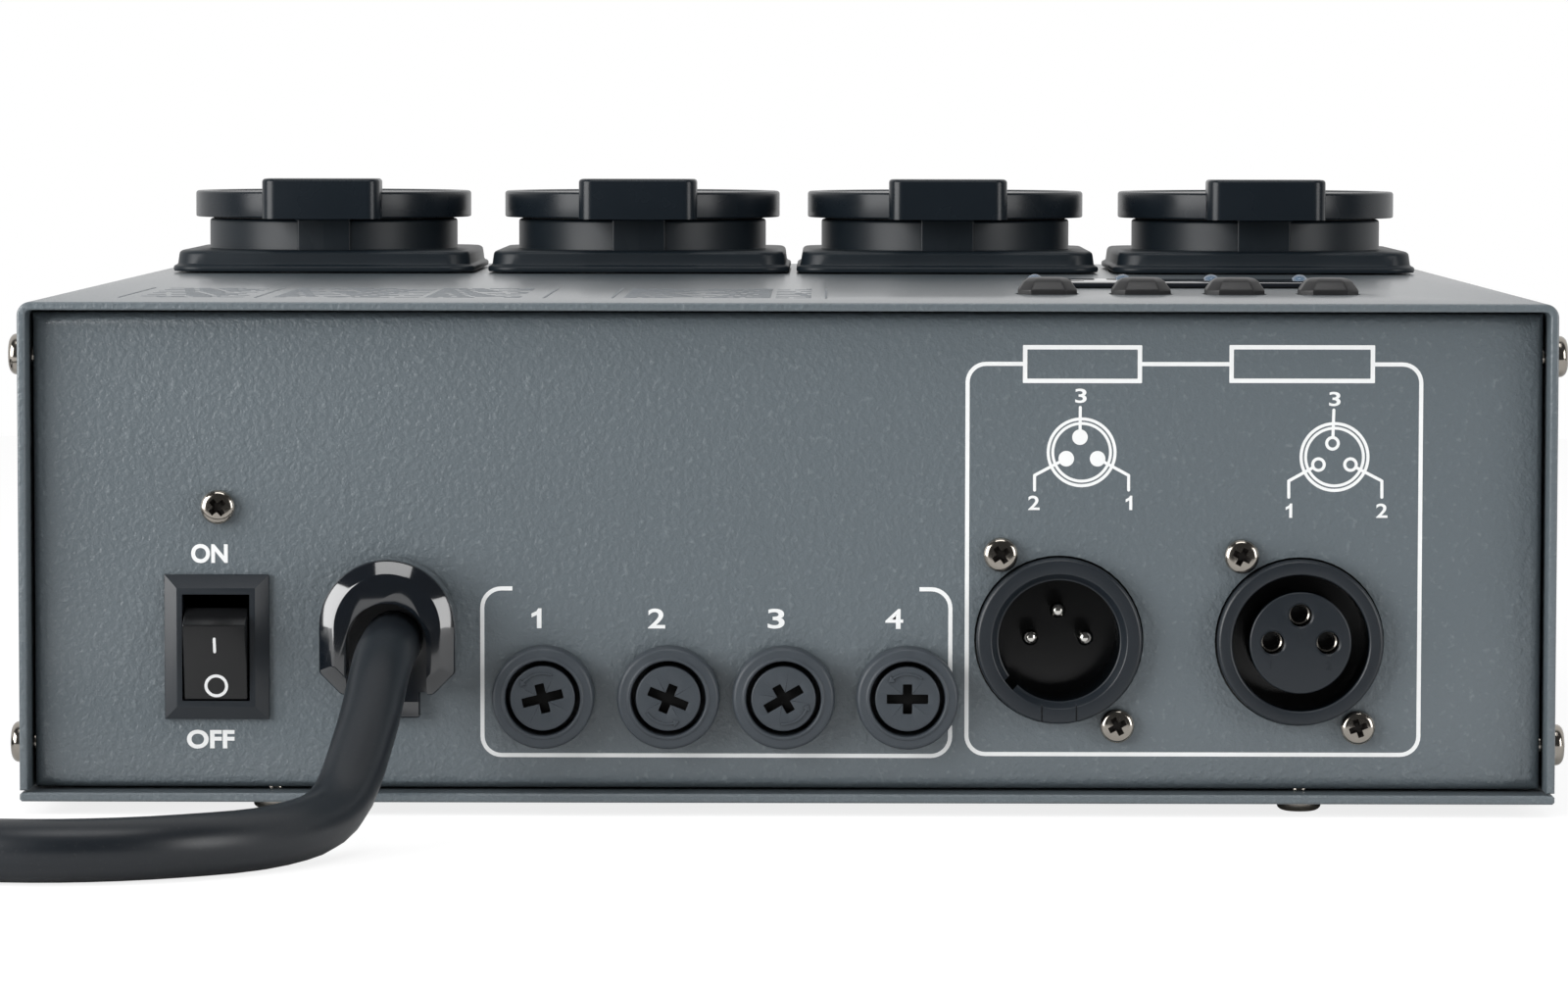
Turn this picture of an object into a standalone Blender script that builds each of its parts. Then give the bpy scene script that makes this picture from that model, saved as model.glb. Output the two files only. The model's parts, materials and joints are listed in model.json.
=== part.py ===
# Four-channel DMX switch pack: a folded steel box with its connector panel at one end, four lidded
# mains sockets, four buttons and a display on top, and a mains lead.
# Metres, +Z up, the connector panel faces -Y. The origin is under the middle of the box, on the
# surface that the box stands on, and the lead doesn't count for it.

import math

import bmesh
import bpy
from mathutils import Matrix, Vector

MM = 0.001

# Clearances
GAP = 0.3 * MM  # between two pieces that rest on each other
PLAY = 0.3 * MM  # round a screw, boss, pin or neck in its hole, on the radius
BUTTON_PLAY = 0.35 * MM  # round a button cap in the cover
OVERRUN = 1.0 * MM  # how far a cutter runs past the face that it opens
SUNK = 0.4 * MM  # how far two joined shapes of one piece run into each other

# Case
CASE_WIDTH = 222.5 * MM
CASE_DEPTH = 222.0 * MM
CASE_HEIGHT = 72.5 * MM
COVER_SHEET = 1.2 * MM
COVER_BEND = 2.0 * MM  # outer radius of the cover's two folds
BOTTOM_SHEET = 1.3 * MM
BOTTOM_EDGE = 0.3 * MM
DIMPLE_RADIUS = 4.6 * MM  # pressed in the underside round each bottom screw
DIMPLE_DEPTH = 0.25 * MM
PANEL_SHEET = 1.1 * MM
PANEL_BEND = 2.2 * MM
PANEL_RECESS = 4.0 * MM  # from the cover's end edge back to the panel
PANEL_FLANGE = 14.0 * MM
PANEL_PLAY = 0.4 * MM  # between a panel's flanges and the cover
BEND_STEPS = 4

# Screws: radii and heights of the heads, and one cross recess for all
SIDE_HEAD = (3.0 * MM, 2.1 * MM)
BOTTOM_HEAD = (3.2 * MM, 1.7 * MM)  # the height that stands out under the bottom plate's face
PANEL_HEAD = (2.5 * MM, 1.7 * MM)
SHANK_RADIUS = 1.4 * MM
SHANK_LENGTH = 7.0 * MM
CROSS_SPAN = 3.0 * MM
CROSS_WIDTH = 0.9 * MM
CROSS_DEPTH = 1.0 * MM
SCREW_BACK = 9.0 * MM  # from the cover's end edge to the side and bottom screws
SIDE_SCREW_HEIGHTS = (7.8 * MM, 64.6 * MM)
BOTTOM_SCREW_X = 74.9 * MM

# Mains sockets, heights from the top face
SOCKET_X = (-80.2 * MM, -26.4 * MM, 26.3 * MM, 80.3 * MM)
SOCKET_BACK = 178.2 * MM  # from the cover's panel edge to the socket centres
SOCKET_FLANGE = 50.0 * MM
SOCKET_FLANGE_TOP = 3.9 * MM
SOCKET_LIP = 0.75 * MM  # how far the foot of the flange stands out
SOCKET_LIP_TOP = 1.3 * MM
SOCKET_CORNER = 4.5 * MM
NECK_RADIUS = 21.5 * MM
NECK_TOP = 9.0 * MM
RECESS_RADIUS = 19.5 * MM
RECESS_DEPTH = 17.5 * MM
PIN_HOLE_RADIUS = 2.6 * MM
PIN_SPACING = 19.0 * MM
PIN_HOLE_DEPTH = 18.0 * MM
SOCKET_BODY_RADIUS = 20.8 * MM
SOCKET_BODY_DEPTH = 30.0 * MM

# Socket lid and its hinge
LID_RADIUS = 23.9 * MM
LID_THICKNESS = 4.5 * MM
LID_EDGE = 0.35 * MM
HINGE_WIDTH = 20.0 * MM
HINGE_TOP = 16.1 * MM
HINGE_AHEAD = 24.9 * MM  # from the socket's centre forward to the hinge pin
HINGE_HEIGHT = 11.6 * MM
HINGE_PIN_RADIUS = 0.9 * MM
HINGE_PIN_PLAY = 0.08 * MM
BARREL_RADIUS = 2.6 * MM
KNUCKLE_WIDTH = 9.0 * MM
KNUCKLE_PLAY = 0.4 * MM
HINGE_WALL = 0.9 * MM  # front and back wall of the lid's hinge block
HINGE_CORNER = 2.4 * MM
POST_BEHIND = 3.4 * MM  # from the hinge pin back to the post that carries the knuckle
POST_THICKNESS = 1.6 * MM

# Buttons, indicator lamps and display, places from the middle line and the cover's panel edge
BUTTON_FIRST_X = 39.2 * MM
BUTTON_PITCH = 14.2 * MM
BUTTON_BACK = 45.9 * MM
BUTTON_SIZE = 8.8 * MM
BUTTON_TOP_SIZE = 7.0 * MM
BUTTON_SHOULDER = 0.7 * MM  # how far a cap stands straight before it leans in
BUTTON_CHAMFER = 1.8 * MM
BUTTON_RISE = 2.5 * MM
BUTTON_TRAVEL = 0.8 * MM
BUTTON_COLLAR = 10.6 * MM
BUTTON_COLLAR_HEIGHT = 1.0 * MM
BUTTON_STEM_RADIUS = 1.6 * MM
LAMP_BACK = 100.0 * MM
LAMP_RADIUS = 1.5 * MM
LAMP_RISE = 1.5 * MM
WINDOW_X = 60.4 * MM
WINDOW_BACK = 85.0 * MM
WINDOW_SIZE = (46.0 * MM, 22.0 * MM)
WINDOW_LIP = 2.0 * MM
WINDOW_RISE = 0.9 * MM
WINDOW_DEPTH = 1.6 * MM  # how far the window reaches down from the top face

# Control board, depths from the top face
BOARD_DEPTH = 12.0 * MM
BOARD_SHEET = 1.6 * MM
CONTROL_BOARD_SIZE = (68.0 * MM, 74.0 * MM)
CONTROL_BOARD_BACK = 73.0 * MM
KEY_SIZE = 6.0 * MM
KEY_HEIGHT = 3.4 * MM
DISPLAY_SIZE = (34.0 * MM, 14.0 * MM)
DISPLAY_DEPTH = 3.4 * MM
PILLAR_RADIUS = 2.6 * MM
PILLAR_INSET = 4.0 * MM

# Power board, heights from the bottom plate
POWER_BOARD_SIZE = (170.0 * MM, 142.0 * MM)
POWER_BOARD_BACK = 128.0 * MM
POWER_BOARD_HEIGHT = 6.0 * MM
RELAY_SIZE = (28.0 * MM, 12.5 * MM, 20.0 * MM)
RELAY_PITCH = 34.0 * MM
RELAY_BACK = 168.0 * MM
TRANSFORMER_SIZE = (44.0 * MM, 38.0 * MM, 30.0 * MM)
TRANSFORMER_AT = (-52.0 * MM, 100.0 * MM)
TERMINAL_SIZE = (96.0 * MM, 11.0 * MM, 12.0 * MM)
TERMINAL_AT = (18.0 * MM, 68.0 * MM)
CAPACITOR_RADIUS = 6.5 * MM
CAPACITOR_HEIGHT = 22.0 * MM
CAPACITOR_AT = (4.0 * MM, 112.0 * MM)

# Fittings of the connector panel: places as (X, height over the case's underside)
SWITCH_AT = (-82.84 * MM, 22.3 * MM)
SWITCH_BEZEL = (15.2 * MM, 21.1 * MM)
SWITCH_BEZEL_RISE = 2.2 * MM
SWITCH_BEZEL_EDGE = 0.5 * MM
SWITCH_OPENING = (9.8 * MM, 15.5 * MM)
SWITCH_BODY = (12.8 * MM, 19.0 * MM)
SWITCH_BODY_DEPTH = 14.0 * MM
SWITCH_POCKET_DEPTH = 10.5 * MM
SWITCH_SLOPE = 2.0 * MM  # width of the bezel's sloping border
BLADE_SIZE = (4.8 * MM, 0.8 * MM, 8.0 * MM)
BLADE_PITCH = 6.0 * MM
ROCKER_PIVOT_DEPTH = 4.5 * MM
ROCKER_TILT = 14.0  # degrees each way from level
ROCKER_FACE_HALF = 5.7 * MM
ROCKER_FACE_REACH = 8.4 * MM  # from the pivot to the rocker's face
ROCKER_SIDE_PLAY = 0.3 * MM
TRUNNION_RADIUS = 1.2 * MM
TRUNNION_PLAY = 0.08 * MM
TRUNNION_REACH = 0.9 * MM
EARTH_SCREW_AT = (-82.6 * MM, 42.65 * MM)

BUSHING_AT = (-57.65 * MM, 23.5 * MM)
BUSHING_WIDTH = 19.7 * MM
BUSHING_ABOVE = 12.0 * MM  # from the cord's middle to the top of the arch
BUSHING_BELOW = 7.6 * MM
BUSHING_CHAMFER = 3.2 * MM
BUSHING_RISE = 8.5 * MM
BUSHING_EDGE = 1.8 * MM
BUSHING_ROOM = 1.55 * MM  # round the cord in the pocket
BUSHING_POCKET_DEPTH = 6.0 * MM
BUSHING_TAB = (9.0 * MM, 3.8 * MM, 2.6 * MM)  # width, how far below the arch, rise
BUSHING_NECK_RADIUS = 7.2 * MM
BUSHING_REAR_DEPTH = 12.0 * MM
BUSHING_REAR_RADIUS = 8.6 * MM

FUSE_X = (-35.34 * MM, -17.16 * MM, -0.45 * MM, 17.5 * MM)
FUSE_HEIGHT = 15.2 * MM
FUSE_SLOT_TURN = (14.0, -22.0, 30.0, 0.0)  # degrees, how each cap's long slot leans
FUSE_FLANGE_RISE = 4.5 * MM
FUSE_TUBE_DEPTH = 31.0 * MM
FUSE_MOUTH_DEPTH = 8.0 * MM
FUSE_BORE_RADIUS = 3.1 * MM
FUSE_BORE_DEPTH = 27.0 * MM
FUSE_NUT_HEIGHT = 2.6 * MM
FUSE_CAP_RADIUS = 4.7 * MM
FUSE_MOUTH_RADIUS = FUSE_CAP_RADIUS + 0.7 * MM
FUSE_NECK_RADIUS = FUSE_MOUTH_RADIUS + 1.0 * MM
FUSE_TUBE_RADIUS = FUSE_NECK_RADIUS - 0.4 * MM
FUSE_NUT_RADIUS = FUSE_TUBE_RADIUS + 1.9 * MM
FUSE_FLANGE_RADIUS = FUSE_NECK_RADIUS + 1.05 * MM
FUSE_CAP_DEPTH = 5.6 * MM
FUSE_CAP_SOCKET = 3.6 * MM  # how deep the fuse's end sits in the cap
FUSE_SLOT_LONG = 6.0 * MM
FUSE_SLOT_SHORT = 4.3 * MM
FUSE_SLOT_WIDTH = 1.35 * MM
FUSE_SLOT_DEPTH = 1.4 * MM
LINK_RADIUS = 2.6 * MM
LINK_LENGTH = 20.0 * MM
LINK_END = 5.0 * MM  # length of each metal end
LINK_GLASS_RADIUS = 2.35 * MM

DATA_IN_AT = (39.5 * MM, 23.5 * MM)
DATA_OUT_AT = (74.45 * MM, 23.3 * MM)
DATA_RING_RADIUS = 12.0 * MM
DATA_RING_RISE = 2.6 * MM
DATA_IN_MOUTH = (9.7 * MM, 8.8 * MM, 1.1 * MM)  # radius at the edge, of the bore, depth of the bevel
DATA_OUT_BORE_RADIUS = 9.9 * MM
DATA_BORE_DEPTH = 15.0 * MM
DATA_BODY_DEPTH = 22.0 * MM
DATA_PLATE = (26.0 * MM, 31.0 * MM, 2.0 * MM)
DATA_SCREW = (8.5 * MM, 12.45 * MM)  # one screw up left, the other down right
DATA_PIN_CIRCLE = 4.0 * MM
DATA_PIN_RADIUS = 1.2 * MM
DATA_PIN_LENGTH = 9.0 * MM
DATA_INSERT_RADIUS = 7.4 * MM
DATA_INSERT_BACK = 0.6 * MM  # how far the insert stays back from the barrel's edge
DATA_HOLE_RADIUS = 1.65 * MM
DATA_HOLE_DEPTH = 9.0 * MM

# Mains lead
CORD_RADIUS = 4.25 * MM
CORD_OFF_FLOOR = 0.1 * MM
CORD_ASIDE = 0.6 * MM  # how far right of its pocket's middle the cord comes out
CORD_STEP = 17.0 * MM
CORD_LEAN = 0.6 * MM  # how far the lower edge of the cord's leaning end reaches back
COIL_MIDDLE = (-222.0 * MM, -102.0 * MM)
COIL_RADIUS = 56.6 * MM  # outermost turn, to the cord's centreline
COIL_PITCH = 2 * CORD_RADIUS + 0.7 * MM
COIL_TURNS = 4.25
COIL_LOOP_POINTS = 24
COIL_TAIL = 30.0 * MM
PLUG_RADIUS = 18.5 * MM
PLUG_BOOT_RADIUS = 6.6 * MM
PLUG_BOOT_LENGTH = 16.0 * MM
PLUG_BODY_LENGTH = 46.0 * MM  # boot and body together
PLUG_PIN_RADIUS = 2.4 * MM
PLUG_PIN_LENGTH = 19.0 * MM
# The lead's route from the strain relief, from its start, in mm: out, down to the floor, round to the
# left and along the floor to where the coil's straight end begins.
LEAD_ROUTE = (
    (0.0, 0.0, 0.0), (0.0, -6.0, 0.0), (-0.1, -11.0, -0.5), (-0.4, -17.5, -2.2), (-0.9, -23.8, -5.2),
    (-1.5, -29.3, -9.4), (-2.4, -34.5, -14.0), (-3.7, -40.3, -17.7), (-5.7, -46.6, -20.1),
    (-8.2, -53.1, -21.1), (-11.4, -59.4, -21.1), (-15.7, -65.0, -21.1), (-26.1, -72.8, -21.1),
    (-38.6, -76.4, -21.1), (-51.5, -75.3, -21.1), (-63.3, -70.0, -21.1), (-74.7, -63.5, -21.1),
    (-86.4, -57.0, -21.1), (-99.0, -52.2, -21.1), (-112.0, -49.8, -21.1), (-125.0, -49.3, -21.1),
    (-138.0, -49.3, -21.1), (-147.6, -49.3, -21.1),
)

# Levels and faces that follow from the sizes
FOOT = BOTTOM_HEAD[1] + GAP
CASE_LOW = FOOT
BOTTOM_TOP = CASE_LOW + BOTTOM_SHEET
TOP = CASE_LOW + CASE_HEIGHT
COVER_LOW = BOTTOM_TOP + GAP
PANEL_LOW = BOTTOM_SHEET + GAP  # over the case's underside
PANEL_HIGH = CASE_HEIGHT - COVER_SHEET - PANEL_PLAY
PANEL_HALF = CASE_WIDTH / 2 - COVER_SHEET - PANEL_PLAY


def leaned(y, z, degrees):
    """A point (up, out) of the rocker, seen from its pivot, after the rocker leans with its top out."""
    angle = math.radians(degrees)
    return (
        y * math.cos(angle) - z * math.sin(angle),
        z * math.cos(angle) + y * math.sin(angle),
    )


ROCKER_REACH = leaned(ROCKER_FACE_HALF, ROCKER_FACE_REACH, ROCKER_TILT)[1] - ROCKER_PIVOT_DEPTH
DATA_REACH = GAP + DATA_RING_RISE
FRONT_REACH = max(ROCKER_REACH, FUSE_FLANGE_RISE, DATA_REACH, PANEL_RECESS) - PANEL_RECESS
FRONT = (FRONT_REACH - CASE_DEPTH) / 2
REAR = FRONT + CASE_DEPTH
PANEL_FACE = FRONT + PANEL_RECESS
FAR_FACE = REAR - PANEL_RECESS

# Turns that take a piece modelled with +Z out of its surface to where it sits
OUT_FRONT = (math.pi / 2, 0.0, 0.0)
OUT_REAR = (math.pi / 2, 0.0, math.pi)
OUT_RIGHT = (0.0, math.pi / 2, 0.0)
OUT_LEFT = (0.0, -math.pi / 2, 0.0)
OUT_BELOW = (math.pi, 0.0, 0.0)
ALONG_Y = (-math.pi / 2, 0.0, 0.0)

# Sides of round shapes, from wide to small
FINE = 28
ROUND = 16
SMALL = 10
SCREW_SIDES = 8

# Colour, roughness and metallic value of each finish
FINISHES = {
    "powder_coat": ((0.105, 0.130, 0.150), 0.55, 0.0),
    "black_plastic": ((0.012, 0.012, 0.014), 0.35, 0.0),
    "black_rubber": ((0.014, 0.014, 0.015), 0.55, 0.0),
    "nickel": ((0.72, 0.68, 0.62), 0.25, 1.0),
    "steel_pin": ((0.60, 0.60, 0.62), 0.30, 1.0),
    "fuse_glass": ((0.75, 0.78, 0.78), 0.15, 0.0),
    "dark_window": ((0.010, 0.012, 0.016), 0.08, 0.0),
    "circuit_board": ((0.02, 0.16, 0.07), 0.45, 0.0),
}


def clear_scene():
    for obj in list(bpy.data.objects):
        bpy.data.objects.remove(obj, do_unlink=True)


def make_finishes():
    """One Principled material for each finish."""
    made = {}
    for name, (colour, roughness, metallic) in FINISHES.items():
        material = bpy.data.materials.new(name)
        material.use_nodes = True
        shader = material.node_tree.nodes["Principled BSDF"]
        shader.inputs["Base Color"].default_value = (*colour, 1.0)
        shader.inputs["Roughness"].default_value = roughness
        shader.inputs["Metallic"].default_value = metallic
        made[name] = material
    return made


# Shapes. Each makes a closed working object, which release() turns into a mesh.


def solid(bm):
    """A bmesh as a working object with its faces pointing out."""
    bmesh.ops.remove_doubles(bm, verts=bm.verts, dist=1e-7)
    bmesh.ops.recalc_face_normals(bm, faces=bm.faces)
    mesh = bpy.data.meshes.new("working")
    bm.to_mesh(mesh)
    bm.free()
    obj = bpy.data.objects.new("working", mesh)
    bpy.context.scene.collection.objects.link(obj)
    return obj


def release(obj, smooth_under=35.0):
    """The working object's mesh, shaded smooth but for its edges. The object goes."""
    mesh = obj.data
    bpy.data.objects.remove(obj, do_unlink=True)
    mesh.shade_smooth()
    mesh.set_sharp_from_angle(angle=math.radians(smooth_under))
    return mesh


def shifted(obj, x=0.0, y=0.0, z=0.0):
    obj.data.transform(Matrix.Translation((x, y, z)))
    return obj


def turned_to(obj, axis, degrees):
    obj.data.transform(Matrix.Rotation(math.radians(degrees), 4, axis))
    return obj


def laid_along_x(obj):
    """Turns a prism of an outline in X and Y so that the outline lies in Y and Z."""
    obj.data.transform(Matrix(((0, 0, 1, 0), (1, 0, 0, 0), (0, 1, 0, 0), (0, 0, 0, 1))))
    return obj


def bevelled(bm, edges, width, steps):
    """Rounds some edges of a bmesh."""
    bmesh.ops.bevel(
        bm, geom=edges, offset=width, segments=steps, profile=0.5, affect="EDGES", clamp_overlap=True
    )


def block(low, high, edge=0.0, steps=2, upright_only=False, front_only=False):
    """A box between two corners. edge rounds all its edges, the upright ones or those at its +Z face."""
    bm = bmesh.new()
    size = Vector(high) - Vector(low)
    middle = (Vector(high) + Vector(low)) / 2
    bmesh.ops.create_cube(bm, size=1.0)
    bmesh.ops.scale(bm, vec=size, verts=bm.verts)
    bmesh.ops.translate(bm, vec=middle, verts=bm.verts)
    if edge:
        chosen = list(bm.edges)
        if upright_only:
            chosen = [e for e in chosen if abs(e.verts[0].co.z - e.verts[1].co.z) > size.z / 2]
        if front_only:
            chosen = [e for e in chosen if min(v.co.z for v in e.verts) > middle.z]
        bevelled(bm, chosen, edge, steps)
    return solid(bm)


def tapered(low_size, high_size, low, high):
    """A four-sided frustum, centred, with its sizes (x, y) at its two ends."""
    bm = bmesh.new()
    bmesh.ops.create_cube(bm, size=1.0)
    for vert in bm.verts:
        size, z = (high_size, high) if vert.co.z > 0 else (low_size, low)
        vert.co = (vert.co.x * size[0], vert.co.y * size[1], z)
    return solid(bm)


def prism(outline, low, high):
    """A flat outline in X and Y, drawn up from low to high."""
    bm = bmesh.new()
    face = bm.faces.new([bm.verts.new((x, y, low)) for x, y in outline])
    grown = bmesh.ops.extrude_face_region(bm, geom=[face])
    risen = [g for g in grown["geom"] if isinstance(g, bmesh.types.BMVert)]
    bmesh.ops.translate(bm, vec=(0.0, 0.0, high - low), verts=risen)
    return solid(bm)


def cylinder(radius, low, high, sides=ROUND):
    bm = bmesh.new()
    bmesh.ops.create_cone(
        bm, cap_ends=True, segments=sides, radius1=radius, radius2=radius, depth=high - low
    )
    bmesh.ops.translate(bm, vec=(0.0, 0.0, (high + low) / 2), verts=bm.verts)
    return solid(bm)


def turned(profile, sides=ROUND):
    """A profile of (radius, z) from the axis round to the axis, spun about Z."""
    bm = bmesh.new()
    verts = [bm.verts.new((radius, 0.0, z)) for radius, z in profile]
    edges = [bm.edges.new(pair) for pair in zip(verts, verts[1:])]
    bmesh.ops.spin(
        bm, geom=verts + edges, axis=(0, 0, 1), angle=2 * math.pi, steps=sides, use_merge=True
    )
    return solid(bm)


def combine(base, tools, operation):
    """Booleans of several closed shapes with base, made exactly. The tools go."""
    for tool in tools:
        modifier = base.modifiers.new("shape", "BOOLEAN")
        modifier.operation = operation
        modifier.solver = "EXACT"
        modifier.object = tool
    graph = bpy.context.evaluated_depsgraph_get()
    mesh = bpy.data.meshes.new_from_object(base.evaluated_get(graph))
    base.modifiers.clear()
    base.data = mesh
    for tool in tools:
        bpy.data.objects.remove(tool, do_unlink=True)
    return base


def weld(base, *tools):
    return combine(base, tools, "UNION")


def carve(base, *tools):
    return combine(base, tools, "DIFFERENCE")


def arc(x, y, radius, start, end, steps):
    """Points on an arc about (x, y), its angles in degrees."""
    points = []
    for step in range(steps + 1):
        angle = math.radians(start + (end - start) * step / steps)
        points.append((x + radius * math.cos(angle), y + radius * math.sin(angle)))
    return points


def chamfered_square(size, chamfer):
    half = size / 2
    short = half - chamfer
    return [
        (half, -short), (half, short), (short, half), (-short, half),
        (-half, short), (-half, -short), (-short, -half), (short, -half),
    ]


def hole(x, y, radius, low, high, sides=ROUND):
    return shifted(cylinder(radius, low, high, sides), x, y)


def side_holes(half, places):
    """Cutters along X through both sides, one at each (y, z), for the side screws."""
    reach = half + OVERRUN
    cutters = []
    for y, z in places:
        cutter = turned_to(cylinder(SHANK_RADIUS + PLAY, -reach, reach, SCREW_SIDES), "Y", 90)
        cutters.append(shifted(cutter, 0.0, y, z))
    return cutters


# Sheet metal


def cover_mesh(tops):
    """The cover, a U of top and two sides. tops are the cutters of what passes through its top."""
    half = CASE_WIDTH / 2
    bend_x = half - COVER_BEND
    bend_z = TOP - COVER_BEND
    inner = COVER_BEND - COVER_SHEET
    outline = [(-half, COVER_LOW)]
    outline += arc(-bend_x, bend_z, COVER_BEND, 180, 90, BEND_STEPS)
    outline += arc(bend_x, bend_z, COVER_BEND, 90, 0, BEND_STEPS)
    outline += [(half, COVER_LOW), (half - COVER_SHEET, COVER_LOW)]
    outline += arc(bend_x, bend_z, inner, 0, 90, BEND_STEPS)
    outline += arc(-bend_x, bend_z, inner, 90, 180, BEND_STEPS)
    outline += [(-half + COVER_SHEET, COVER_LOW)]
    shell = turned_to(prism(outline, -REAR, -FRONT), "X", 90)
    heights = [CASE_LOW + height for height in SIDE_SCREW_HEIGHTS]
    screws = [(y, z) for y in (FRONT + SCREW_BACK, REAR - SCREW_BACK) for z in heights]
    return release(carve(shell, *side_holes(half, screws), *tops))


def panel_solid():
    """A panel with four flanges folded back, face at z = 0, y from the case's underside."""
    tray = block(
        (-PANEL_HALF, PANEL_LOW, -PANEL_FLANGE), (PANEL_HALF, PANEL_HIGH, 0.0),
        PANEL_BEND, 2, front_only=True,
    )
    hollow = block(
        (-PANEL_HALF + PANEL_SHEET, PANEL_LOW + PANEL_SHEET, -PANEL_FLANGE - OVERRUN),
        (PANEL_HALF - PANEL_SHEET, PANEL_HIGH - PANEL_SHEET, -PANEL_SHEET),
        PANEL_BEND - PANEL_SHEET, 1, front_only=True,
    )
    tray = carve(tray, hollow)
    depth = PANEL_RECESS - SCREW_BACK
    cutters = side_holes(PANEL_HALF, [(height, depth) for height in SIDE_SCREW_HEIGHTS])
    for x in (-BOTTOM_SCREW_X, BOTTOM_SCREW_X):
        reach = PANEL_LOW + PANEL_SHEET + OVERRUN
        cutter = turned_to(cylinder(SHANK_RADIUS + PLAY, -reach, reach, SCREW_SIDES), "X", 90)
        cutters.append(shifted(cutter, x, 0.0, depth))
    return carve(tray, *cutters)


def through_panel(place, radius, sides=SCREW_SIDES):
    """A round cutter through the panel's face."""
    return hole(*place, radius, -PANEL_SHEET - OVERRUN, OVERRUN, sides)


def slot_through_panel(place, size):
    """A square cutter through the panel's face with play all round size."""
    half = (size[0] / 2 + PLAY, size[1] / 2 + PLAY)
    cutter = block((-half[0], -half[1], -PANEL_SHEET - OVERRUN), (half[0], half[1], OVERRUN))
    return shifted(cutter, *place)


def data_screws(place):
    """Where the two screws of a data connector go."""
    return [
        (place[0] + side * DATA_SCREW[0], place[1] - side * DATA_SCREW[1]) for side in (-1, 1)
    ]


def connector_panel_mesh():
    cutters = [
        slot_through_panel(SWITCH_AT, SWITCH_BODY),
        through_panel(EARTH_SCREW_AT, SHANK_RADIUS + PLAY),
        through_panel(BUSHING_AT, BUSHING_NECK_RADIUS + PLAY, ROUND),
    ]
    cutters += [through_panel((x, FUSE_HEIGHT), FUSE_NECK_RADIUS + PLAY, ROUND) for x in FUSE_X]
    for place in (DATA_IN_AT, DATA_OUT_AT):
        cutters.append(through_panel(place, DATA_RING_RADIUS + PLAY, FINE))
        cutters += [through_panel(screw, SHANK_RADIUS + PLAY) for screw in data_screws(place)]
    return release(carve(panel_solid(), *cutters))


def bottom_plate_mesh():
    half = CASE_WIDTH / 2
    plate = block((-half, FRONT, CASE_LOW), (half, REAR, BOTTOM_TOP), BOTTOM_EDGE, 1)
    cutters = []
    for x in (-BOTTOM_SCREW_X, BOTTOM_SCREW_X):
        for y in (FRONT + SCREW_BACK, REAR - SCREW_BACK):
            cutters.append(
                hole(x, y, SHANK_RADIUS + PLAY, CASE_LOW - OVERRUN, BOTTOM_TOP + OVERRUN, SCREW_SIDES)
            )
            # the heads sit in dimples, so that the flat of the underside ends clear of them
            cutters.append(hole(x, y, DIMPLE_RADIUS, CASE_LOW - OVERRUN, CASE_LOW + DIMPLE_DEPTH))
    return release(carve(plate, *cutters))


def screw_mesh(head):
    """A pan-head screw with a cross recess, its head GAP over the surface at z = 0."""
    radius, height = head
    profile = [
        (0.0, -SHANK_LENGTH), (SHANK_RADIUS, -SHANK_LENGTH), (SHANK_RADIUS, GAP), (radius, GAP),
        (radius, GAP + 0.45 * height), (0.7 * radius, GAP + height), (0.0, GAP + height),
    ]
    screw = turned(profile, SCREW_SIDES)
    low = GAP + height - CROSS_DEPTH
    high = GAP + height + OVERRUN
    arms = [
        block((-x / 2, -y / 2, low), (x / 2, y / 2, high))
        for x, y in ((CROSS_SPAN, CROSS_WIDTH), (CROSS_WIDTH, CROSS_SPAN))
    ]
    return release(carve(screw, *arms))


# Mains sockets, modelled about their middle on the top face, hinge towards -Y


def socket_mesh():
    """Square flange, round neck with its recess, body under the cover, and the fixed hinge knuckle."""
    half = SOCKET_FLANGE / 2
    body = block(
        (-half, -half, 2 * GAP), (half, half, SOCKET_FLANGE_TOP),
        SOCKET_CORNER, 3, upright_only=True,
    )
    lip = half + SOCKET_LIP
    foot = block(
        (-lip, -lip, GAP), (lip, lip, SOCKET_LIP_TOP),
        SOCKET_CORNER + SOCKET_LIP, 3, upright_only=True,
    )
    core = turned(
        [
            (0.0, -SOCKET_BODY_DEPTH), (SOCKET_BODY_RADIUS, -SOCKET_BODY_DEPTH),
            (SOCKET_BODY_RADIUS, 2 * GAP), (NECK_RADIUS, SOCKET_LIP_TOP), (NECK_RADIUS, NECK_TOP),
            (0.0, NECK_TOP),
        ],
        FINE,
    )
    body = weld(body, foot, core, knuckle())
    floor = NECK_TOP - RECESS_DEPTH
    cutters = [cylinder(RECESS_RADIUS, floor, NECK_TOP + OVERRUN, FINE)]
    for x in (-PIN_SPACING / 2, PIN_SPACING / 2):
        cutters.append(hole(x, 0.0, PIN_HOLE_RADIUS, floor - PIN_HOLE_DEPTH, floor + OVERRUN, SMALL))
    cutters.append(shifted(pin_bore(KNUCKLE_WIDTH), 0.0, -HINGE_AHEAD, HINGE_HEIGHT))
    return release(carve(body, *cutters))


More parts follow.
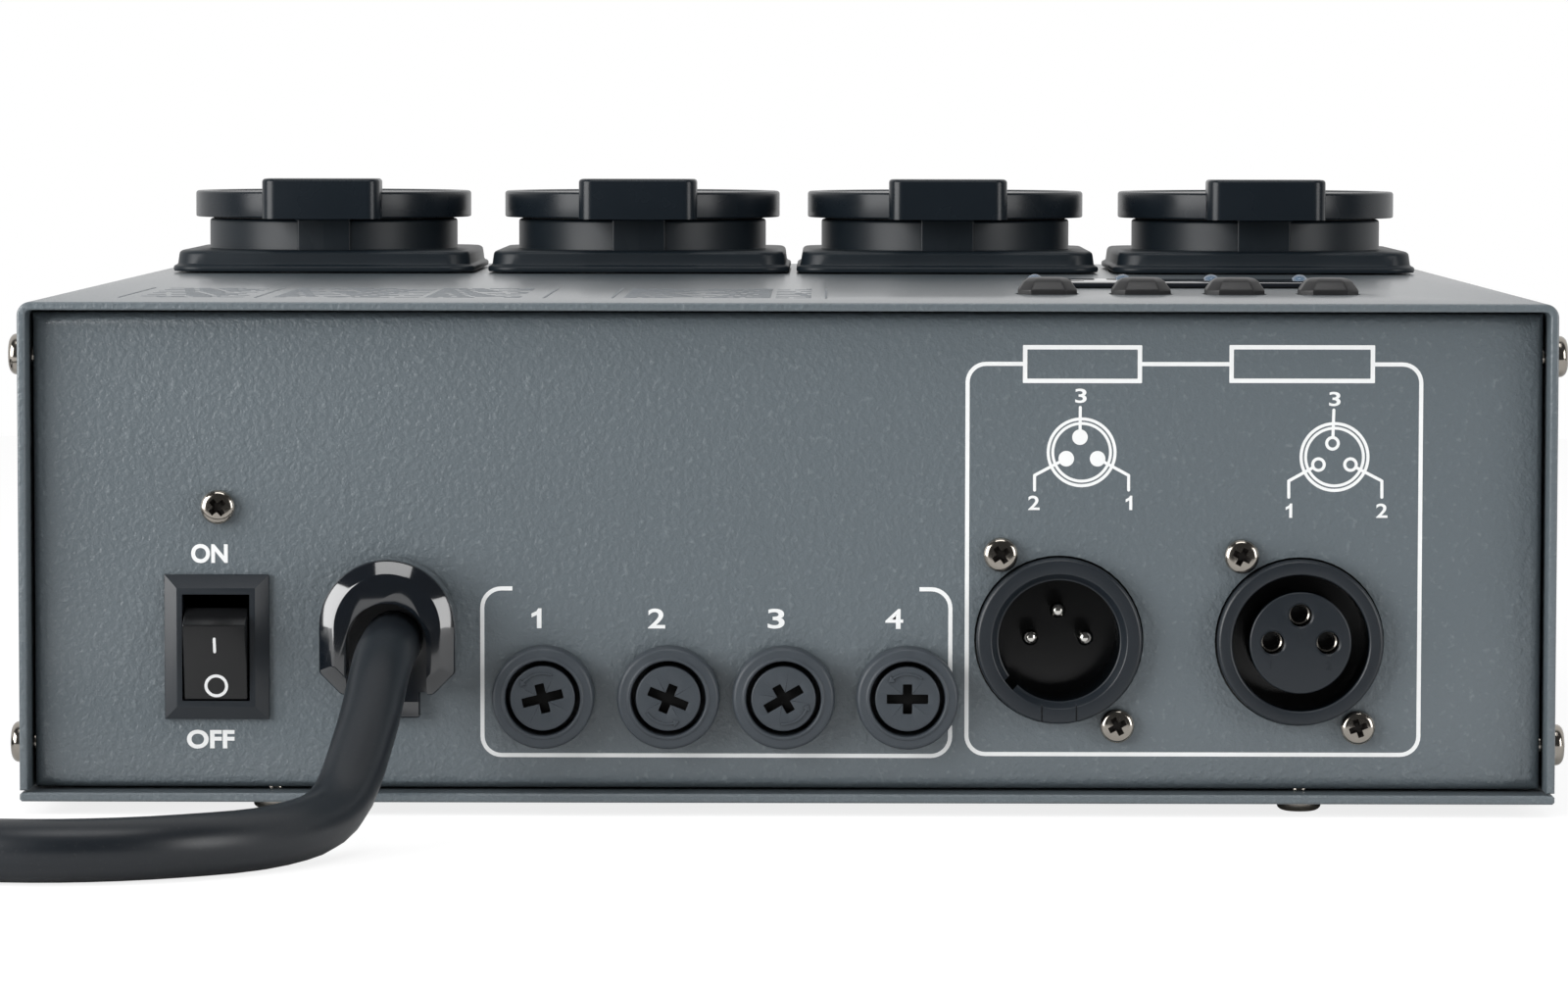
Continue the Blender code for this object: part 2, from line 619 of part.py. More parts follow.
def knuckle():
    """The fixed knuckle: a barrel round the pin, carried by a post on the neck's front."""
    half = KNUCKLE_WIDTH / 2
    back = POST_BEHIND + POST_THICKNESS
    foot = SOCKET_FLANGE_TOP - HINGE_HEIGHT - SUNK
    # outline in (y, z) from the pin, drawn along X
    post = [
        (0.4 * BARREL_RADIUS, -0.6 * BARREL_RADIUS), (POST_BEHIND, -0.8 * BARREL_RADIUS),
        (POST_BEHIND, foot), (back, foot), (back, -0.2 * BARREL_RADIUS),
        (0.4 * BARREL_RADIUS, 0.45 * BARREL_RADIUS),
    ]
    barrel = turned_to(cylinder(BARREL_RADIUS, -half, half, 16), "Y", 90)
    whole = weld(barrel, laid_along_x(prism(post, -half, half)))
    return shifted(whole, 0.0, -HINGE_AHEAD, HINGE_HEIGHT)


def pin_bore(width):
    """The cutter of the hinge pin's bore, width long, about the pin's own middle."""
    reach = width / 2 + OVERRUN
    return turned_to(cylinder(HINGE_PIN_RADIUS + HINGE_PIN_PLAY, -reach, reach, SMALL), "Y", 90)


def lid_mesh():
    """The lid about its hinge pin: a round plate, and the hinge block with a slot for the knuckle."""
    low = NECK_TOP + GAP - HINGE_HEIGHT
    high = low + LID_THICKNESS
    plate = turned(
        [
            (0.0, low), (LID_RADIUS - LID_EDGE, low), (LID_RADIUS, low + LID_EDGE),
            (LID_RADIUS, high - LID_EDGE), (LID_RADIUS - LID_EDGE, high), (0.0, high),
        ],
        FINE,
    )
    shifted(plate, 0.0, HINGE_AHEAD)
    inner = BARREL_RADIUS + PLAY
    slot_back = POST_BEHIND + POST_THICKNESS + PLAY
    half = HINGE_WIDTH / 2
    hinge = block(
        (-half, -inner - HINGE_WALL, low), (half, slot_back + HINGE_WALL, HINGE_TOP - HINGE_HEIGHT),
        HINGE_CORNER, 3, upright_only=True,
    )
    half = KNUCKLE_WIDTH / 2 + KNUCKLE_PLAY
    slot = block((-half, -inner, low - OVERRUN), (half, slot_back, inner))
    return release(carve(weld(plate, hinge), slot, pin_bore(HINGE_WIDTH)))


def hinge_pin_mesh():
    half = HINGE_WIDTH / 2 - GAP
    return release(turned_to(cylinder(HINGE_PIN_RADIUS, -half, half, SMALL), "Y", 90))


# What sits in the cover's top: buttons, window, and the control board under them


def lamp_places():
    return [(BUTTON_FIRST_X + k * BUTTON_PITCH, FRONT + LAMP_BACK) for k in range(4)]


def button_places():
    return [(BUTTON_FIRST_X + k * BUTTON_PITCH, FRONT + BUTTON_BACK) for k in range(4)]


def socket_places():
    return [(x, FRONT + SOCKET_BACK) for x in SOCKET_X]


def top_cutters():
    """The cutters of the cover's top: socket necks, button caps, lamps and the window."""
    low = TOP - COVER_SHEET - OVERRUN
    high = TOP + OVERRUN
    cutters = [hole(x, y, SOCKET_BODY_RADIUS + PLAY, low, high, FINE) for x, y in socket_places()]
    cutters += [hole(x, y, LAMP_RADIUS + PLAY, low, high, SMALL) for x, y in lamp_places()]
    for x, y in button_places():
        outline = chamfered_square(BUTTON_SIZE + 2 * BUTTON_PLAY, BUTTON_CHAMFER)
        cutters.append(shifted(prism(outline, low, high), x, y))
    half = [size / 2 - WINDOW_LIP + PLAY for size in WINDOW_SIZE]
    y = FRONT + WINDOW_BACK
    cutters.append(
        block((WINDOW_X - half[0], y - half[1], low), (WINDOW_X + half[0], y + half[1], high))
    )
    return cutters


def button_mesh():
    """A cap with cut corners and a low crown, its collar under the cover and its stem."""
    crown = 0.15 * BUTTON_RISE
    skirt_low = -(COVER_SHEET + GAP + SUNK)
    collar_high = -(COVER_SHEET + GAP)
    collar_low = collar_high - BUTTON_COLLAR_HEIGHT
    stem_low = -(BOARD_DEPTH - KEY_HEIGHT) + BUTTON_TRAVEL + GAP
    skirt = prism(chamfered_square(BUTTON_SIZE, BUTTON_CHAMFER), skirt_low, BUTTON_SHOULDER)
    bm = bmesh.new()
    bm.from_mesh(skirt.data)
    bm.faces.ensure_lookup_table()
    bpy.data.objects.remove(skirt, do_unlink=True)
    top = max(bm.faces, key=lambda f: f.calc_center_median().z)
    lean = BUTTON_RISE - BUTTON_SHOULDER - crown
    for rise, size in ((lean, BUTTON_TOP_SIZE), (crown, BUTTON_TOP_SIZE * 0.66)):
        width = max(v.co.x for v in top.verts) * 2
        grown = bmesh.ops.extrude_face_region(bm, geom=[top])["geom"]
        verts = [g for g in grown if isinstance(g, bmesh.types.BMVert)]
        bmesh.ops.delete(bm, geom=[top], context="FACES_ONLY")
        top = next(g for g in grown if isinstance(g, bmesh.types.BMFace))
        bmesh.ops.translate(bm, vec=(0.0, 0.0, rise), verts=verts)
        bmesh.ops.scale(bm, vec=(size / width, size / width, 1.0), verts=verts)
    cap = solid(bm)
    half = BUTTON_COLLAR / 2
    collar = block((-half, -half, collar_low), (half, half, collar_high))
    stem = cylinder(BUTTON_STEM_RADIUS, stem_low, collar_low + SUNK, SMALL)
    return release(weld(cap, collar, stem))


def window_mesh():
    """The display window: a lip that lies on the cover and a plug that fills its cut-out."""
    x, y = (size / 2 for size in WINDOW_SIZE)
    plate = block((-x, -y, GAP), (x, y, WINDOW_RISE), 1.0 * MM, 3, upright_only=True)
    x -= WINDOW_LIP
    y -= WINDOW_LIP
    plug = block((-x, -y, -WINDOW_DEPTH), (x, y, GAP + SUNK / 2))
    return release(weld(plate, plug))


def control_board_mesh():
    """Board, pillars to the cover, key switches, lamps and display module, in place."""
    face = TOP - BOARD_DEPTH
    middle_y = FRONT + CONTROL_BOARD_BACK
    x, y = (size / 2 for size in CONTROL_BOARD_SIZE)
    low = face - BOARD_SHEET
    board = block((WINDOW_X - x, middle_y - y, low), (WINDOW_X + x, middle_y + y, face))
    pieces = []
    for side_x in (-1, 1):
        for side_y in (-1, 1):
            px = WINDOW_X + side_x * (x - PILLAR_INSET)
            py = middle_y + side_y * (y - PILLAR_INSET)
            high = TOP - COVER_SHEET - GAP
            pieces.append(hole(px, py, PILLAR_RADIUS, face - SUNK, high, SMALL))
    for px, py in button_places():
        half = KEY_SIZE / 2
        high = face + KEY_HEIGHT
        pieces.append(block((px - half, py - half, face - SUNK), (px + half, py + half, high)))
    for px, py in lamp_places():
        dome = TOP + LAMP_RISE
        lamp = turned(
            [(0.0, face - SUNK), (LAMP_RADIUS, face - SUNK)]
            + arc(0.0, dome - LAMP_RADIUS, LAMP_RADIUS, 0, 90, 3)[:-1]
            + [(0.0, dome)],
            SMALL,
        )
        pieces.append(shifted(lamp, px, py))
    x, y = (size / 2 for size in DISPLAY_SIZE)
    py = FRONT + WINDOW_BACK
    high = TOP - DISPLAY_DEPTH
    pieces.append(block((WINDOW_X - x, py - y, face - SUNK), (WINDOW_X + x, py + y, high)))
    return release(weld(board, *pieces))


def power_board_mesh():
    """Board on four pillars, four relays, transformer, terminal block and capacitor, in place."""
    low = BOTTOM_TOP + POWER_BOARD_HEIGHT
    face = low + BOARD_SHEET
    middle_y = FRONT + POWER_BOARD_BACK
    x, y = (size / 2 for size in POWER_BOARD_SIZE)
    board = block((-x, middle_y - y, low), (x, middle_y + y, face))
    pieces = []
    for side_x in (-1, 1):
        for side_y in (-1, 1):
            px = side_x * (x - PILLAR_INSET)
            py = middle_y + side_y * (y - PILLAR_INSET)
            pieces.append(hole(px, py, PILLAR_RADIUS, BOTTOM_TOP + GAP, low + SUNK, SMALL))
    stood = [(RELAY_SIZE, ((k - 1.5) * RELAY_PITCH, RELAY_BACK)) for k in range(4)]
    stood += [(TRANSFORMER_SIZE, TRANSFORMER_AT), (TERMINAL_SIZE, TERMINAL_AT)]
    for (width, depth, height), (px, back) in stood:
        py = FRONT + back
        corner = (px - width / 2, py - depth / 2, face - SUNK)
        other = (px + width / 2, py + depth / 2, face + height)
        pieces.append(block(corner, other, 0.6 * MM, 1))
    px, back = CAPACITOR_AT
    high = face + CAPACITOR_HEIGHT
    pieces.append(hole(px, FRONT + back, CAPACITOR_RADIUS, face - SUNK, high, SMALL))
    return release(weld(board, *pieces))


# Fittings of the connector panel, modelled with +Z out of the panel and +Y up


def switch_housing_mesh():
    """Sloping bezel, body behind the panel, pocket for the rocker and three rear blades."""
    rim = tapered(SWITCH_BEZEL, SWITCH_BEZEL, GAP, GAP + SWITCH_BEZEL_EDGE)
    inner = [size - 2 * SWITCH_SLOPE for size in SWITCH_BEZEL]
    slope = tapered(SWITCH_BEZEL, inner, GAP + SWITCH_BEZEL_EDGE - SUNK / 4, SWITCH_BEZEL_RISE)
    body = tapered(SWITCH_BODY, SWITCH_BODY, -SWITCH_BODY_DEPTH, GAP + SUNK / 2)
    x, y, length = (BLADE_SIZE[0] / 2, BLADE_SIZE[1] / 2, BLADE_SIZE[2])
    blades = [
        block(
            (-x, middle - y, -SWITCH_BODY_DEPTH - length), (x, middle + y, -SWITCH_BODY_DEPTH + SUNK)
        )
        for middle in (-BLADE_PITCH, 0.0, BLADE_PITCH)
    ]
    shape = weld(rim, slope, body, *blades)
    x, y = (size / 2 for size in SWITCH_OPENING)
    floor = SWITCH_BEZEL_RISE - SWITCH_POCKET_DEPTH
    pocket = block((-x, -y, floor), (x, y, SWITCH_BEZEL_RISE + OVERRUN))
    reach = SWITCH_OPENING[0] / 2 + TRUNNION_REACH + PLAY
    bearing = turned_to(cylinder(TRUNNION_RADIUS + TRUNNION_PLAY, -reach, reach, SMALL), "Y", 90)
    return release(carve(shape, pocket, shifted(bearing, 0.0, 0.0, -ROCKER_PIVOT_DEPTH)))


def rocker_mesh():
    """The rocker about its pivot, with a trunnion on each side, leaning top out as at OFF."""
    half = SWITCH_OPENING[0] / 2 - ROCKER_SIDE_PLAY
    limit = SWITCH_OPENING[1] / 2 - ROCKER_SIDE_PLAY
    tilt = math.radians(ROCKER_TILT)
    shoulder_z = 0.24 * ROCKER_FACE_REACH
    shoulder = (limit - shoulder_z * math.sin(tilt)) / math.cos(tilt)
    level = [
        (ROCKER_FACE_HALF, ROCKER_FACE_REACH), (shoulder, shoulder_z), (0.9 * shoulder, -shoulder_z),
        (-0.9 * shoulder, -shoulder_z), (-shoulder, shoulder_z), (-ROCKER_FACE_HALF, ROCKER_FACE_REACH),
    ]
    outline = [leaned(y, z, ROCKER_TILT) for y, z in level]
    body = laid_along_x(prism(outline, -half, half))
    reach = SWITCH_OPENING[0] / 2 + TRUNNION_REACH
    trunnions = turned_to(cylinder(TRUNNION_RADIUS, -reach, reach, SMALL), "Y", 90)
    return release(weld(body, trunnions))


def strain_relief_mesh():
    """An arched bushing with a pocket that the cord leaves, a neck in the panel and a rear clamp."""
    half = BUSHING_WIDTH / 2
    spring = BUSHING_ABOVE - half  # where the arch starts, over the cord's middle
    outline = [(-half + BUSHING_CHAMFER, -BUSHING_BELOW), (half - BUSHING_CHAMFER, -BUSHING_BELOW)]
    outline += [(half, -BUSHING_BELOW + BUSHING_CHAMFER)]
    outline += arc(0.0, spring, half, 0, 180, 12)
    outline += [(-half, -BUSHING_BELOW + BUSHING_CHAMFER)]
    bm = bmesh.new()
    collar = prism(outline, GAP, BUSHING_RISE)
    bm.from_mesh(collar.data)
    bpy.data.objects.remove(collar, do_unlink=True)
    rim = [e for e in bm.edges if min(v.co.z for v in e.verts) > BUSHING_RISE - GAP]
    bevelled(bm, rim, BUSHING_EDGE, 2)
    collar = solid(bm)
    width, below, rise = BUSHING_TAB
    tab = block((-width / 2, -BUSHING_BELOW - below, GAP), (width / 2, -BUSHING_BELOW + SUNK, rise))
    neck = cylinder(BUSHING_NECK_RADIUS, -PANEL_SHEET - GAP - SUNK, GAP + SUNK)
    rear = cylinder(BUSHING_REAR_RADIUS, -PANEL_SHEET - GAP - BUSHING_REAR_DEPTH, -PANEL_SHEET - GAP)
    shape = weld(collar, tab, neck, rear)
    pocket_half = CORD_RADIUS + BUSHING_ROOM
    mouth = [(pocket_half, -BUSHING_BELOW - OVERRUN)]
    mouth += arc(0.0, 0.0, pocket_half, 0, 180, 8)
    mouth += [(-pocket_half, -BUSHING_BELOW - OVERRUN)]
    pocket = prism(mouth, BUSHING_RISE - BUSHING_POCKET_DEPTH, BUSHING_RISE + OVERRUN)
    return release(carve(shape, pocket))


def fuse_holder_mesh():
    """Flange, neck, tube and nut in one, with the wide mouth for the cap and the narrow bore."""
    edge = 0.5 * MM
    behind = -PANEL_SHEET - GAP
    profile = [
        (0.0, -FUSE_TUBE_DEPTH), (FUSE_TUBE_RADIUS, -FUSE_TUBE_DEPTH),
        (FUSE_TUBE_RADIUS, behind - FUSE_NUT_HEIGHT), (FUSE_NUT_RADIUS, behind - FUSE_NUT_HEIGHT),
        (FUSE_NUT_RADIUS, behind), (FUSE_NECK_RADIUS, behind), (FUSE_NECK_RADIUS, GAP),
        (FUSE_FLANGE_RADIUS, GAP), (FUSE_FLANGE_RADIUS, FUSE_FLANGE_RISE - edge),
        (FUSE_FLANGE_RADIUS - edge, FUSE_FLANGE_RISE), (FUSE_MOUTH_RADIUS + edge, FUSE_FLANGE_RISE),
        (FUSE_MOUTH_RADIUS, FUSE_FLANGE_RISE - edge),
        (FUSE_MOUTH_RADIUS, FUSE_FLANGE_RISE - FUSE_MOUTH_DEPTH),
        (FUSE_BORE_RADIUS, FUSE_FLANGE_RISE - FUSE_MOUTH_DEPTH), (FUSE_BORE_RADIUS, -FUSE_BORE_DEPTH),
        (0.0, -FUSE_BORE_DEPTH),
    ]
    return release(turned(profile, ROUND))


def fuse_cap_mesh():
    """The cap about the holder's axis, with unequal cross slots and a hollow for the fuse's end."""
    high = FUSE_FLANGE_RISE - GAP
    low = high - FUSE_CAP_DEPTH
    socket = LINK_RADIUS + PLAY
    profile = [
        (0.0, low + FUSE_CAP_SOCKET), (socket, low + FUSE_CAP_SOCKET), (socket, low),
        (FUSE_CAP_RADIUS, low), (FUSE_CAP_RADIUS, high), (0.0, high),
    ]
    arms = []
    for x, y in ((FUSE_SLOT_LONG, FUSE_SLOT_WIDTH), (FUSE_SLOT_WIDTH, FUSE_SLOT_SHORT)):
        arms.append(
            block((-x / 2, -y / 2, high - FUSE_SLOT_DEPTH), (x / 2, y / 2, high + OVERRUN))
        )
    return release(carve(turned(profile, ROUND), *arms))


def fuse_link_mesh():
    """A 5 x 20 mm fuse: a glass tube with a metal end on each side, as one turned solid."""
    high = FUSE_FLANGE_RISE - GAP - FUSE_CAP_DEPTH + FUSE_CAP_SOCKET - GAP
    low = high - LINK_LENGTH
    profile = [
        (0.0, low), (LINK_RADIUS, low), (LINK_RADIUS, low + LINK_END), (LINK_GLASS_RADIUS, low + LINK_END),
        (LINK_GLASS_RADIUS, high - LINK_END), (LINK_RADIUS, high - LINK_END), (LINK_RADIUS, high),
        (0.0, high),
    ]
    return release(turned(profile, SMALL))


def data_shell(mouth):
    """A data connector's barrel with its plate behind the panel, hollowed by the mouth's profile."""
    edge = 0.5 * MM
    barrel = turned(
        [
            (0.0, -DATA_BODY_DEPTH), (DATA_RING_RADIUS - edge, -DATA_BODY_DEPTH),
            (DATA_RING_RADIUS, -DATA_BODY_DEPTH + edge), (DATA_RING_RADIUS, DATA_REACH - edge),
            (DATA_RING_RADIUS - edge, DATA_REACH), (0.0, DATA_REACH),
        ],
        FINE,
    )
    x, y, thick = DATA_PLATE
    high = -PANEL_SHEET - GAP
    plate = block((-x / 2, -y / 2, high - thick), (x / 2, y / 2, high), 2.0 * MM, 2, upright_only=True)
    cutters = [turned(mouth, FINE)]
    for place_x, place_y in data_screws((0.0, 0.0)):
        low = high - thick - OVERRUN
        cutters.append(hole(place_x, place_y, SHANK_RADIUS + PLAY, low, high + OVERRUN, SCREW_SIDES))
    return carve(weld(barrel, plate), *cutters)


def contact_places():
    """The three contacts, from the middle: 1 and 2 at the sides and 3 at the top."""
    return [(-DATA_PIN_CIRCLE, 0.0), (DATA_PIN_CIRCLE, 0.0), (0.0, DATA_PIN_CIRCLE)]


def data_in_mesh():
    """The male connector: a bevelled mouth, and three pins on the floor of the barrel."""
    floor = DATA_REACH - DATA_BORE_DEPTH
    wide, narrow, bevel = DATA_IN_MOUTH
    mouth = [
        (0.0, floor), (narrow, floor), (narrow, DATA_REACH - bevel), (wide, DATA_REACH),
        (wide, DATA_REACH + OVERRUN), (0.0, DATA_REACH + OVERRUN),
    ]
    pins = [
        hole(x, y, DATA_PIN_RADIUS, floor - SUNK, floor + DATA_PIN_LENGTH, SMALL)
        for x, y in contact_places()
    ]
    return release(weld(data_shell(mouth), *pins))


def data_out_mesh():
    """The female connector: an insert with three contact holes in the barrel."""
    floor = DATA_REACH - DATA_BORE_DEPTH
    high = DATA_REACH + OVERRUN
    mouth = [(0.0, floor), (DATA_OUT_BORE_RADIUS, floor), (DATA_OUT_BORE_RADIUS, high), (0.0, high)]
    front = DATA_REACH - DATA_INSERT_BACK
    insert = cylinder(DATA_INSERT_RADIUS, floor - SUNK, front, FINE)
    holes = [
        hole(x, y, DATA_HOLE_RADIUS, front - DATA_HOLE_DEPTH, front + OVERRUN, SMALL)
        for x, y in contact_places()
    ]
    return release(carve(weld(data_shell(mouth), insert), *holes))


# Mains lead


def smooth_curve(points, per_span=12):
    """A Catmull-Rom curve through the points."""
    knots = [2 * points[0] - points[1]] + points + [2 * points[-1] - points[-2]]
    line = []
    for a, b, c, d in zip(knots, knots[1:], knots[2:], knots[3:]):
        for step in range(per_span):
            t = step / per_span
            square = (2 * a - 5 * b + 4 * c - d) * t**2
            cube = (3 * b - a - 3 * c + d) * t**3
            line.append(0.5 * (2 * b + (c - a) * t + square + cube))
    return line + [points[-1]]


def length_of(line):
    return sum((b - a).length for a, b in zip(line, line[1:]))


def evenly_spaced(line, step):
    """Points along a fine line, about step apart, with both its ends."""
    count = max(2, round(length_of(line) / step))
    wanted = length_of(line) / count
    spaced = [line[0]]
    travelled = 0.0
    for a, b in zip(line, line[1:]):
        travelled += (b - a).length
        if travelled >= wanted * len(spaced) and len(spaced) < count:
            spaced.append(b)
    return spaced + [line[-1]]


def cord_start():
    """Where the cord's free stretch begins, in the bushing's pocket."""
    x, height = BUSHING_AT
    y = PANEL_FACE - (BUSHING_RISE - BUSHING_POCKET_DEPTH) - GAP - CORD_LEAN
    return Vector((x + CORD_ASIDE, y, CASE_LOW + height))


def floor_height():
    return CORD_RADIUS + CORD_OFF_FLOOR


def coil_start():
    return Vector(
        (COIL_MIDDLE[0] + 2 * CORD_RADIUS, COIL_MIDDLE[1] - COIL_RADIUS, floor_height())
    )


def lead_points():
    """The free stretch from the bushing to the coil, its last diameter straight towards the coil."""
    route = [cord_start() + MM * Vector(point) for point in LEAD_ROUTE]
    end = coil_start() + Vector((GAP, 0.0, 0.0))
    route[-1] = end + Vector((2 * CORD_RADIUS, 0.0, 0.0))
    points = evenly_spaced(smooth_curve(route), CORD_STEP) + [end]
    for point in points:
        point.z = max(point.z, floor_height())
    return points


def coil_points():
    """One tube: in at the floor, out again on top, climbing in the half turn where it reverses."""
    last = round(COIL_TURNS * COIL_LOOP_POINTS)
    points = [coil_start()]
    rise = COIL_PITCH
    for step in range(last + 1):
        turn = step / COIL_LOOP_POINTS
        inward = min(turn, COIL_TURNS - turn)
        radius = COIL_RADIUS - COIL_PITCH * inward
        climbed = min(1.0, max(0.0, (turn - COIL_TURNS / 2 + 0.25) / 0.5))
        angle = -math.pi / 2 - 2 * math.pi * turn
        points.append(
            Vector(
                (
                    COIL_MIDDLE[0] + radius * math.cos(angle),
                    COIL_MIDDLE[1] + radius * math.sin(angle),
                    floor_height() + rise * climbed,
                )
            )
        )
    # the tail rises to the plug's axis and ends straight
    begin = points[-1].copy()
    plug_rise = PLUG_RADIUS + CORD_OFF_FLOOR - begin.z
    for share in (0.25, 0.5, 0.75, 1.0):
        lift = plug_rise * (3 * share**2 - 2 * share**3)
        points.append(begin + Vector((0.0, COIL_TAIL * share, lift)))
    points.append(points[-1] + Vector((0.0, 2 * CORD_RADIUS, 0.0)))
    return points


def least_gap(points):
    """The least gap of the tube to itself, between points more than half a turn apart along it."""
    apart = COIL_LOOP_POINTS // 2
    nearest = min(
        (first - second).length
        for index, first in enumerate(points)
        for second in points[index + apart:]
    )
    return nearest - 2 * CORD_RADIUS


def tube(name, points, material, resolution):
    """A cord stretch: a poly curve with a round bevel and closed ends."""
    curve = bpy.data.curves.new(name, "CURVE")
    curve.dimensions = "3D"
    curve.bevel_depth = CORD_RADIUS
    curve.bevel_resolution = resolution
    curve.use_fill_caps = True
    spline = curve.splines.new("POLY")
    spline.points.add(len(points) - 1)
    for knot, point in zip(spline.points, points):
        knot.co = (*point, 1.0)
    curve.materials.append(material)
    obj = bpy.data.objects.new(name, curve)
    bpy.context.scene.collection.objects.link(obj)
    return obj


def plug_mesh():
    """The mains plug from its cord entry at z = 0 towards its pins: boot, body and two pins."""
    face = PLUG_BODY_LENGTH
    boot = PLUG_BOOT_LENGTH
    body = turned(
        [
            (0.0, GAP), (PLUG_BOOT_RADIUS, GAP), (1.25 * PLUG_BOOT_RADIUS, boot),
            (0.72 * PLUG_RADIUS, boot + 5 * MM), (0.9 * PLUG_RADIUS, boot + 10 * MM),
            (PLUG_RADIUS, boot + 17 * MM), (PLUG_RADIUS, face - 1.5 * MM), (PLUG_RADIUS - 1.5 * MM, face),
            (0.0, face),
        ],
        ROUND,
    )
    pins = [
        hole(x, 0.0, PLUG_PIN_RADIUS, face - SUNK, face + PLUG_PIN_LENGTH, SMALL)
        for x in (-PIN_SPACING / 2, PIN_SPACING / 2)
    ]
    return release(weld(body, *pins))


# The assembly


def place(name, mesh, material, location=(0.0, 0.0, 0.0), turn=(0.0, 0.0, 0.0)):
    """One named piece. Copies of a repeated piece share its mesh."""
    if not mesh.materials:
        mesh.materials.append(material)
    obj = bpy.data.objects.new(name, mesh)
    obj.location = location
    obj.rotation_euler = turn
    bpy.context.scene.collection.objects.link(obj)
    return obj


def on_panel(at):
    return (at[0], PANEL_FACE, CASE_LOW + at[1])


def place_case(finish):
    coat = finish["powder_coat"]
    place("cover", cover_mesh(top_cutters()), coat)
    place("bottom_plate", bottom_plate_mesh(), coat)
    place("connector_panel", connector_panel_mesh(), coat, (0.0, PANEL_FACE, CASE_LOW), OUT_FRONT)
    place("far_panel", release(panel_solid()), coat, (0.0, FAR_FACE, CASE_LOW), OUT_REAR)


def place_screws(finish):
    metal = finish["nickel"]
    half = CASE_WIDTH / 2
    mesh = screw_mesh(SIDE_HEAD)
    number = 0
    for y in (FRONT + SCREW_BACK, REAR - SCREW_BACK):
        for x, turn in ((-half, OUT_LEFT), (half, OUT_RIGHT)):
            for height in SIDE_SCREW_HEIGHTS:
                number += 1
                place(f"side_screw_{number}", mesh, metal, (x, y, CASE_LOW + height), turn)
    mesh = screw_mesh((BOTTOM_HEAD[0], BOTTOM_HEAD[1] + DIMPLE_DEPTH))
    number = 0
    for y in (FRONT + SCREW_BACK, REAR - SCREW_BACK):
        for x in (-BOTTOM_SCREW_X, BOTTOM_SCREW_X):
            number += 1
            place(f"bottom_screw_{number}", mesh, metal, (x, y, CASE_LOW + DIMPLE_DEPTH), OUT_BELOW)
    mesh = screw_mesh(PANEL_HEAD)
    place("earth_screw", mesh, metal, on_panel(EARTH_SCREW_AT), OUT_FRONT)
    for number, at in enumerate(data_screws(DATA_IN_AT) + data_screws(DATA_OUT_AT), 1):
        place(f"connector_screw_{number}", mesh, metal, on_panel(at), OUT_FRONT)


def place_sockets(finish):
    body, lid, pin = socket_mesh(), lid_mesh(), hinge_pin_mesh()
    for number, (x, y) in enumerate(socket_places(), 1):
        axis = (x, y - HINGE_AHEAD, TOP + HINGE_HEIGHT)
        place(f"socket_{number}", body, finish["black_plastic"], (x, y, TOP))
        place(f"socket_lid_{number}", lid, finish["black_plastic"], axis)
        place(f"hinge_pin_{number}", pin, finish["steel_pin"], axis)


def place_controls(finish):
    mesh = button_mesh()
    for number, (x, y) in enumerate(button_places(), 1):
        place(f"button_{number}", mesh, finish["black_plastic"], (x, y, TOP))
    at = (WINDOW_X, FRONT + WINDOW_BACK, TOP)
    place("display_window", window_mesh(), finish["dark_window"], at)
    place("control_board", control_board_mesh(), finish["circuit_board"])
    place("power_board", power_board_mesh(), finish["circuit_board"])


def place_panel_fittings(finish):
    plastic = finish["black_plastic"]
    place("switch_housing", switch_housing_mesh(), plastic, on_panel(SWITCH_AT), OUT_FRONT)
    pivot = Vector(on_panel(SWITCH_AT)) + Vector((0.0, ROCKER_PIVOT_DEPTH, 0.0))
    place("switch_rocker", rocker_mesh(), plastic, pivot, OUT_FRONT)
    place("strain_relief", strain_relief_mesh(), plastic, on_panel(BUSHING_AT), OUT_FRONT)
    place("data_in_connector", data_in_mesh(), plastic, on_panel(DATA_IN_AT), OUT_FRONT)
    place("data_out_connector", data_out_mesh(), plastic, on_panel(DATA_OUT_AT), OUT_FRONT)
    holder, cap, link = fuse_holder_mesh(), fuse_cap_mesh(), fuse_link_mesh()
    for number, (x, lean) in enumerate(zip(FUSE_X, FUSE_SLOT_TURN), 1):
        at = on_panel((x, FUSE_HEIGHT))
        place(f"fuse_holder_{number}", holder, plastic, at, OUT_FRONT)
        leaning = (OUT_FRONT[0], -math.radians(lean), 0.0)
        place(f"fuse_cap_{number}", cap, plastic, at, leaning)
        place(f"fuse_link_{number}", link, finish["fuse_glass"], at, OUT_FRONT)


def place_lead(finish):
    rubber = finish["black_rubber"]
    lead = lead_points()
    coil = coil_points()
    tube("mains_lead", lead, rubber, 3)
    tube("mains_coil", coil, rubber, 1)
    place("mains_plug", plug_mesh(), rubber, coil[-1], ALONG_Y)
    print(f"cord: {length_of(lead):.3f} m free and {length_of(coil):.3f} m in the coil")
    print(f"coil: {least_gap(coil) * 1000:.2f} mm least gap to itself")


clear_scene()
finishes = make_finishes()
place_case(finishes)
place_screws(finishes)
place_sockets(finishes)
place_controls(finishes)
place_panel_fittings(finishes)
place_lead(finishes)
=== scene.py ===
# %% [markdown]
# # The look of a four-channel DMX switch pack
#
# The object is a folded steel box in a dark blue-grey powder coat. Four lidded mains sockets stand
# in a row at the far end of its top, and its connector panel carries a rocker switch, a mains lead
# in a strain relief, four fuse holders and two data connectors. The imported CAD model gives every
# solid its true size and place, so a reader can load it first and then build each finer piece right
# where its solid lies.

import json
import math

import bmesh
import bpy
from mathutils import Matrix, Vector

